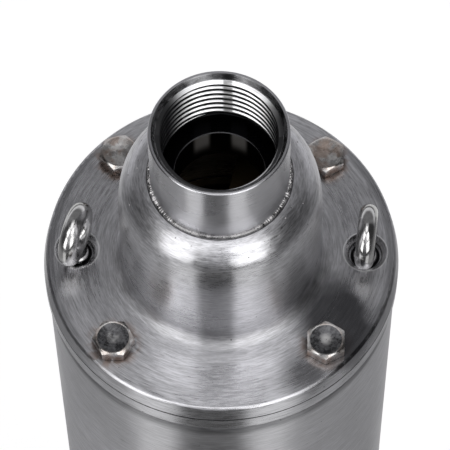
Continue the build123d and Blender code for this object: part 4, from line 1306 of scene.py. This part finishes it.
@dataclass(frozen=True)
class Hexagon:
    """A hexagon head or nut with a chamfered top, standing on its washer face.

    The corners of its section at the radius MARK stand for the hexagon's sides.
    """

    MARK: ClassVar[float] = 1.0

    across: float
    height: float
    top_share: float
    chamfer: float
    hole: float = 0.0
    foot_share: float = 0.47
    foot_height: float = 0.18 * MM
    foot_step: float = 0.02 * MM
    hole_edge: float = 0.4 * MM
    dish: Profile = ((1.0, 0.0), (0.93, 0.05 * MM), (0.52, 0.1 * MM), (0.46, 0.16 * MM), (0.0, 0.17 * MM))

    def mesh(self) -> Mesh:
        """Return the mesh, its corners cut by the chamfer."""
        top, foot = self.top_share * self.across / 2, self.foot_share * self.across
        sides = [
            (foot, 0.0), (foot, self.foot_height), (self.MARK, self.foot_height + self.foot_step),
            (self.MARK, 0.5 * self.height), (self.MARK, self.height),
        ]
        if self.hole:
            inner = [(top, self.height), (self.hole + self.hole_edge, self.height),
                     (self.hole, self.height - self.hole_edge)]
        else:
            inner = [(share * top, self.height - down) for share, down in self.dish]

        def cut(radius: Array, height: Array, turn: Array) -> tuple[Array, Array]:
            marked = radius > 0.5 * self.MARK
            flat = self.across / 2 / np.cos(turn % (pi / 3) - pi / 6)
            drop = np.maximum((flat - top) * tan(self.chamfer), 0)
            upper = marked & (height > 0.9 * self.height)
            return np.where(marked, flat, radius), np.where(upper, self.height - drop, height)

        return turned([(self.hole, 0.0), *sides, *inner], HEAD_SEGMENTS, cut)


@dataclass
class CoverBolts(Assembly):
    """The four hexagon bolts that hold the discharge cover down."""

    across: float = 10.0 * MM
    height: float = 4.0 * MM
    thread: Thread = Thread(1.0 * MM, 2.45 * MM, 3.0 * MM, -BOLT_LENGTH, -4.0 * MM)
    turns: tuple[float, ...] = (30.0, 15.0, 0.0, 30.0)
    face_level: float = 0.9
    face_share: float = 0.84

    def dress(self) -> None:
        """Repeat one bolt on the bolt circle, each as it was tightened."""
        head = Hexagon(self.across, self.height, 0.93, radians(30)).mesh()
        bolt = joined(head, self.thread.shank(plain=-self.thread.high))
        soften(bolt)
        turns = [Vector((0, 0, radians(turn))) for turn in self.turns]
        finishes = (self.palette.slot(Slot.BOLT), self.palette.of(BOLT_TOP_DARK_REFLECTION))
        mesh = self.repeater.spread(bolt, quarter_spots(BOLT_CIRCLE, LID_TOP), turns, finishes[0])
        made = piece("cover_bolts_hexagon", mesh, finishes, Slot.BOLT, "cover_bolts")
        for face in made.data.polygons:
            off = (Vector((abs(face.center.x), abs(face.center.y))) - Vector((QUARTER, QUARTER))).length
            raised = face.center.z > LID_TOP + self.face_level * self.height
            on_top = raised and off < self.face_share * self.across / 2
            # Only the front bolts' tops take the darker copy: a painted dark reflection.
            face.material_index = int(on_top and face.center.y < 0)


@dataclass
class LiftingEyes(Assembly):
    """The two polished lifting eyes screwed in the cover."""

    ring: float = 6.5 * MM
    rod: float = 2.6 * MM
    above_lid: float = 8.85 * MM
    collar: float = 3.4 * MM
    collar_low: float = -2.6 * MM
    collar_top: float = -1.2 * MM
    collar_edge: float = 0.45 * MM
    neck: Profile = ((2.6 * MM, -0.95 * MM), (2.3 * MM, 0.6 * MM), (2.2 * MM, 2.2 * MM), (0.0, 2.4 * MM))
    thread: Thread = Thread(1.0 * MM, 2.45 * MM, 3.0 * MM, -15.0 * MM, collar_low + 0.3 * MM)
    loop_segments: int = 120
    rod_segments: int = 40
    stem_segments: int = 64
    voxel: float = 0.2 * MM
    relax_factor: float = 0.5
    relax_steps: int = 9
    turns: tuple[float, float] = (-17.0, -6.0)

    def eye_mesh(self) -> Mesh:
        """Return one eye about the axis, with its lid height at 0."""
        circle = [
            (self.ring + self.rod * cos(turn), self.rod * sin(turn))
            for turn in (tau * step / self.rod_segments for step in range(self.rod_segments))
        ]
        loop = turned(circle, self.loop_segments)
        loop.transform(Matrix.Translation((0, 0, self.above_lid)) @ Matrix.Rotation(pi / 2, 4, "Y"))
        inner, low, top = self.collar - self.collar_edge, self.collar_low, self.collar_top
        stem = turned([
            (0.0, low), (inner, low), (self.collar, low + self.collar_edge),
            (self.collar, top - self.collar_edge), (inner, top), *self.neck,
        ], self.stem_segments)
        return joined(self.fused(joined(loop, stem)), self.thread.shank())

    def fused(self, mesh: Mesh) -> Mesh:
        """Melt overlapping shapes in one smooth forging.

        Args:
            mesh: The shapes.

        Returns:
            The forging.
        """
        holder = linked("forging", mesh)
        melt = holder.modifiers.new("melt", "REMESH")
        melt.mode, melt.voxel_size = "VOXEL", self.voxel
        relax = holder.modifiers.new("relax", "SMOOTH")
        relax.factor, relax.iterations = self.relax_factor, self.relax_steps
        return evaluated(holder)

    def dress(self) -> None:
        """Put an eye on each side, turned as it was screwed in."""
        for name, side, turn in zip(("left", "right"), (-EYE_CIRCLE, EYE_CIRCLE), self.turns):
            mesh = self.eye_mesh()
            mesh.transform(Matrix.Translation((side, 0, LID_TOP)) @ Matrix.Rotation(radians(turn), 4, "Z"))
            soften(mesh, radians(40))
            material = self.palette.slot(Slot.EYE)
            piece(f"lifting_eye_{name}_forged", mesh, (material,), Slot.EYE, f"lifting_eye_{name}")


@dataclass
class MotorFlange(Assembly):
    """The studs and nuts that join the motor and the suction bracket."""

    circle: float = 38.1 * MM
    stud: Thread = Thread(1.25 * MM, 3.3 * MM, 4.0 * MM, low_of("motor_studs"), top_of("motor_studs"))
    nut: Hexagon = Hexagon(13.0 * MM, 6.5 * MM, 0.92, radians(28), hole=4.0 * MM)
    flange: float = low_of("motor_nuts")

    def dress(self) -> None:
        """Repeat one stud and one nut on the stud circle."""
        turns = [Vector((0, 0, turn)) for turn in QUARTER_TURNS]
        steel = self.palette.slot(Slot.BOLT)
        nut = self.nut.mesh()
        nut.transform(Matrix.Translation((0, 0, self.flange)))
        kinds = (("motor_studs", "threaded", self.stud.shank()), ("motor_nuts", "chamfered", nut))
        for node, look, mesh in kinds:
            soften(mesh)
            whole = self.repeater.spread(mesh, quarter_spots(self.circle), turns, steel)
            piece(f"{node}_{look}", whole, (steel,), Slot.BOLT, node)


@dataclass
class GuardScrews(Assembly):
    """The pan-head screws that hold the cable guard on the casing."""

    head: float = 3.3 * MM
    height: float = 1.8 * MM
    shank: float = 2.0 * MM
    length: float = 3.0 * MM
    turn: float = 17.07
    seat: float = reach_of("pump_casing") + 1.0 * MM
    low: float = low_of("guard_screws") + head
    top: float = top_of("guard_screws") - head
    recess: float = 0.95 * MM
    recess_reach: float = 0.52 * head
    recess_half: float = 0.42 * MM
    recess_centre: float = 0.14 * head
    recess_slope: float = 1.15
    dome: Profile = ((1.0, 0.0), (1.0, 0.55), (0.93, 0.78), (0.78, 0.92), (0.55, 1.0))
    floor: tuple[float, ...] = (0.5, 0.4, 0.32, 0.25, 0.18, 0.1, 0.0)

    def screw_mesh(self) -> Mesh:
        """Return one screw that stands on +Z, with a cross recess in its head."""
        section = (*self.dome, *((reach, 1.0) for reach in self.floor))
        profile = [
            (0.0, -self.length), (self.shank, -self.length), (self.shank, 0.0),
            *((reach * self.head, level * self.height) for reach, level in section),
        ]

        def cut(radius: Array, height: Array, turn: Array) -> tuple[Array, Array]:
            across = np.minimum(np.abs(radius * np.cos(turn)), np.abs(radius * np.sin(turn)))
            within = (radius < self.recess_reach) & (height > 0.9 * self.height)
            slot = within & ((across < self.recess_half) | (radius < self.recess_centre))
            slope = np.clip(self.recess_slope - radius / self.recess_reach, 0, 1)
            return radius, height - np.where(slot, self.recess * slope, 0)

        mesh = turned(profile, HEAD_SEGMENTS, cut)
        soften(mesh, radians(35))
        return mesh

    def dress(self) -> None:
        """Repeat one screw at both edges and both ends of the guard."""
        spots, turns = [], []
        for height in (self.low, self.top):
            for turn in (radians(90 - self.turn), radians(90 + self.turn)):
                out = Vector((cos(turn), sin(turn), 0))
                spots.append(out * self.seat + Vector((0, 0, height)))
                turns.append(out.to_track_quat("Z", "Y").to_euler())
        steel = self.palette.slot(Slot.BOLT)
        mesh = self.repeater.spread(self.screw_mesh(), spots, turns, steel)
        piece("guard_screws_cross", mesh, (steel,), Slot.BOLT, "guard_screws")


@dataclass
class ValveSpring(Assembly):
    """The coil spring that closes the check valve, with a flat coil at each end."""

    radius: float = 9.0 * MM
    wire: float = 0.6 * MM
    coils: float = 4.0
    coil_steps: int = 48
    ring_steps: int = 64
    wire_steps: int = 14
    lift: float = 8.0 * MM
    low: float = low_of("valve_spring")
    top: float = top_of("valve_spring")

    def winding(self) -> Growth:
        """Return the Geometry Nodes tree that winds the wire."""
        sizes = dict.fromkeys(("Radius", "Wire", "Coils", "Length", "Low"), "Float")
        made = Growth("wind_spring", **sizes)
        graph, given = made.graph, made.given
        coil = graph.node(
            "GeometryNodeCurveSpiral",
            {"Resolution": self.coil_steps, "Rotations": given["Coils"], "Start Radius": given["Radius"],
             "End Radius": given["Radius"], "Height": given["Length"]},
        ).outputs[0]
        end, section = (
            graph.node(
                "GeometryNodeCurvePrimitiveCircle", {"Resolution": steps, "Radius": given[name]}
            ).outputs[0]
            for steps, name in ((self.ring_steps, "Radius"), (self.wire_steps, "Wire"))
        )
        raised = self.raised(graph, end, given["Length"])
        line = graph.node("GeometryNodeJoinGeometry")
        for part in (coil, end, raised):
            graph.tree.links.new(part, line.inputs[0])
        wire = graph.node(
            "GeometryNodeCurveToMesh",
            {"Curve": line.outputs[0], "Profile Curve": section, "Fill Caps": True},
        ).outputs[0]
        moved = self.raised(graph, wire, given["Low"])
        made.close(graph.node("GeometryNodeSetShadeSmooth", {"Geometry": moved}).outputs[0])
        return made

    def raised(self, graph: Graph, shape: Socket, height: Socket) -> Socket:
        """Return a geometry moved up."""
        inputs = {"Geometry": shape, "Translation": graph.join(0.0, 0.0, height)}
        return graph.node("GeometryNodeTransform", inputs).outputs[0]

    def dress(self) -> None:
        """Wind the spring and put it in the scene."""
        steel, whole = self.palette.slot(Slot.SPRING), self.top - self.low
        mesh = self.winding().grow(
            bpy.data.meshes.new("winding"), Radius=self.radius, Wire=self.wire, Coils=self.coils,
            Length=whole - 2 * self.wire, Low=self.low + self.wire, Finish=steel,
        )
        spring = piece("valve_spring_wound", mesh, (steel,), Slot.SPRING, "valve_spring")
        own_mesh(spring)


@dataclass(frozen=True)
class Lamp:
    """A soft box that looks at the head of the pump."""

    name: str
    azimuth: float
    elevation: float
    distance: float
    width: float
    height: float
    radiance: float

    def hang(self, aim: Vector) -> None:
        """Put the lamp in the scene, seen by the surfaces but not by the camera.

        Args:
            aim: The place that it looks at.
        """
        light = bpy.data.lights.new(self.name, "AREA")
        light.shape = "RECTANGLE"
        light.size, light.size_y = self.width, self.height
        light.energy = self.radiance * pi * self.width * self.height
        azimuth, elevation = radians(self.azimuth), radians(self.elevation)
        out = Vector((sin(azimuth) * cos(elevation), -cos(azimuth) * cos(elevation), sin(elevation)))
        lamp = linked(self.name, light)
        lamp.location = aim + out * self.distance
        lamp.rotation_euler = out.to_track_quat("Z", "Y").to_euler()
        lamp.visible_camera = False


@dataclass(frozen=True)
class Card:
    """A board laid on the floor, which only the metal shows."""

    name: str
    near: tuple[float, float]
    far: tuple[float, float]
    radiance: float
    near_reach: float = 0.15
    far_reach: float = 2.6
    lift: float = 0.002

    def lay(self) -> bpy.types.Object:
        """Lay the board between its near and far pair of corners, and return it."""
        corners = [(self.near_reach, self.near[0]), (self.far_reach, self.far[0]),
                   (self.far_reach, self.far[1]), (self.near_reach, self.near[1])]
        points = [
            (reach * sin(radians(turn)), -reach * cos(radians(turn)), self.lift) for reach, turn in corners
        ]
        mesh = bpy.data.meshes.new(self.name)
        mesh.from_pydata(points, [], [(0, 1, 2, 3)])
        material = bpy.data.materials.new(self.name)
        graph = emptied(material)
        glow = graph.node("ShaderNodeEmission", {"Color": WHITE, "Strength": self.radiance})
        graph.node("ShaderNodeOutputMaterial", {"Surface": glow.outputs[0]})
        mesh.materials.append(material)
        card = linked(self.name, mesh)
        card.visible_camera = card.visible_diffuse = card.visible_shadow = False
        return card


@dataclass
class Studio:
    """The photograph's camera, with plain soft lamps, a pale floor and a white surround.

    The spans shape what the metal shows of the surround: where a change starts and ends along a
    direction's part, and the brightness at both.
    """

    aim: Vector = field(default_factory=lambda: Vector((0, 0, 0.511614)))
    distance: float = 0.835764
    elevation: float = 62.85237781
    pan: float = 0.08213242
    tilt: float = 0.60987992
    roll: float = 0.98802732
    azimuth: float = 1.7
    lens: float = 241.8486
    sensor: float = 36.0
    clip: tuple[float, float] = (0.01, 50.0)
    lamps: tuple[Lamp, ...] = (
        Lamp("soft_left", -41, 22, 1.2, 0.64, 0.8, 2.3),
        Lamp("soft_right", 29, 22, 1.2, 0.66, 0.8, 2.3),
        Lamp("high_left", -52, 58, 1.2, 0.50, 0.52, 2.8),
        Lamp("high_right", 38, 58, 1.2, 0.50, 0.52, 2.8),
        Lamp("top", 0, 90, 1.1, 0.55, 0.42, 1.2),
    )
    cards: tuple[Card, ...] = (
        Card("dark_card", (-36, 20), (-17, 10), 0.1),
        Card("white_left", (-62, -39), (-44, -18), 0.9),
        Card("white_right", (22, 42), (12, 40), 0.9),
        Card("white_back", (125, 235), (125, 235), 0.75),
    )
    floor_radius: float = 4.0
    paper: float = 0.5
    faint_paper: float = 0.22
    paper_glow: float = 0.88
    horizon: Span = (0.05, 0.35, 0.75, 0.0)
    behind: Span = (0.2, 0.8, 0.05, 1.0)
    ceiling: Span = (0.26, 0.43, 0.05, 0.24)
    middle: Span = (0.14, 0.38, 1.0, 0.0)
    rise: Span = (-0.1, 0.9, 0.1, 0.66)
    front: Span = (0.3, 0.42, 1.0, 0.0)
    bluer: float = 1.03
    dull_air: Colour = (0.35, 0.35, 0.36)

    def camera(self) -> None:
        """Place the camera where the photograph was taken from."""
        level = radians(self.elevation)
        stand = Vector((0, -cos(level), sin(level)))
        forward = -stand
        right = Vector((1, 0, 0))
        view = Matrix((right, right.cross(forward), forward))
        pan, tilt, roll = radians(self.pan), radians(self.tilt), radians(self.roll)
        panned = Matrix(((cos(pan), 0, -sin(pan)), (0, 1, 0), (sin(pan), 0, cos(pan))))
        tilted = Matrix(((1, 0, 0), (0, cos(tilt), -sin(tilt)), (0, sin(tilt), cos(tilt))))
        rolled = Matrix(((cos(roll), -sin(roll), 0), (sin(roll), cos(roll), 0), (0, 0, 1)))
        rows = rolled @ tilted @ panned @ view
        axes = Matrix((rows[0], rows[1], -rows[2])).transposed()
        turn = Matrix.Rotation(radians(self.azimuth), 3, "Z")
        data = bpy.data.cameras.new("camera")
        data.lens, data.sensor_width, data.sensor_fit = self.lens, self.sensor, "HORIZONTAL"
        data.clip_start, data.clip_end = self.clip
        made = linked("camera", data)
        stood = Matrix.Translation(self.aim + turn @ (stand * self.distance))
        made.matrix_world = stood @ (turn @ axes).to_4x4()
        bpy.context.scene.camera = made

    def world(self) -> None:
        """Light the air: white where it is seen, a bright horizon and a dim ceiling in the metal."""
        world = bpy.data.worlds.new("surround")
        graph = emptied(world)
        across, back, up = graph.split(graph.node("ShaderNodeTexCoord").outputs["Generated"])
        band, behind = graph.ramp(up, *self.horizon), graph.ramp(back, *self.behind)
        seen = graph.math("MULTIPLY_ADD", band, behind, graph.ramp(back, *self.ceiling))
        middle = graph.ramp(graph.math("ABSOLUTE", across), *self.middle)
        front = graph.times(middle, graph.ramp(up, *self.rise))
        front = graph.times(front, graph.ramp(back, *self.front))
        seen = graph.math("MAXIMUM", seen, front)
        path = graph.node("ShaderNodeLightPath").outputs
        shiny = graph.math("MAXIMUM", path["Is Glossy Ray"], path["Is Transmission Ray"])
        mirrored = graph.join(seen, seen, graph.times(seen, self.bluer))
        metal = graph.mix(shiny, (*self.dull_air, 1.0), mirrored)
        colour = graph.mix(path["Is Camera Ray"], metal, WHITE)
        air = graph.node("ShaderNodeBackground", {"Color": colour, "Strength": 1.0})
        graph.node("ShaderNodeOutputWorld", {"Surface": air.outputs[0]})
        bpy.context.scene.world = world

    def floor_material(self) -> Material:
        """Return the pale floor: white where it is seen directly, but for the shadow on it."""
        material = bpy.data.materials.new("pale_floor")
        graph = emptied(material)
        paper, faint = (
            graph.node("ShaderNodeBsdfDiffuse", {"Color": (grey, grey, grey, 1.0)}).outputs[0]
            for grey in (self.paper, self.faint_paper)
        )
        glow = graph.node("ShaderNodeEmission", {"Color": WHITE, "Strength": self.paper_glow})
        lit = graph.node("ShaderNodeAddShader", {0: faint, 1: glow.outputs[0]})
        seen = graph.node("ShaderNodeLightPath").outputs["Is Camera Ray"]
        mixed = graph.node("ShaderNodeMixShader", {0: seen, 1: paper, 2: lit.outputs[0]})
        graph.node("ShaderNodeOutputMaterial", {"Surface": mixed.outputs[0]})
        return material

    def floor(self) -> None:
        """Lay the floor and the cards."""
        disc = bmesh.new()
        bmesh.ops.create_circle(disc, cap_ends=True, segments=96, radius=self.floor_radius)
        mesh = bpy.data.meshes.new("floor")
        disc.to_mesh(mesh)
        disc.free()
        mesh.materials.append(self.floor_material())
        ground = linked("floor", mesh)
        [card.lay() for card in self.cards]

    def build(self) -> None:
        """Set the whole studio up."""
        self.camera()
        self.world()
        self.floor()
        for lamp in self.lamps:
            lamp.hang(self.aim)
        bpy.context.scene.view_settings.view_transform = "Standard"


def main() -> None:
    """Build the studio and the pump, and report each piece."""
    Studio().build()
    palette = Palette()
    palette.dress_frame()
    repeater = Repeater()
    for kind in (Outlet, CoverBolts, LiftingEyes, MotorFlange, GuardScrews, ValveSpring):
        kind(palette, repeater).dress()
        log.info("dressed %s", kind.__name__)


if __name__ == "__main__":
    logging.basicConfig(level=logging.INFO, format="%(name)s %(message)s")
    main()
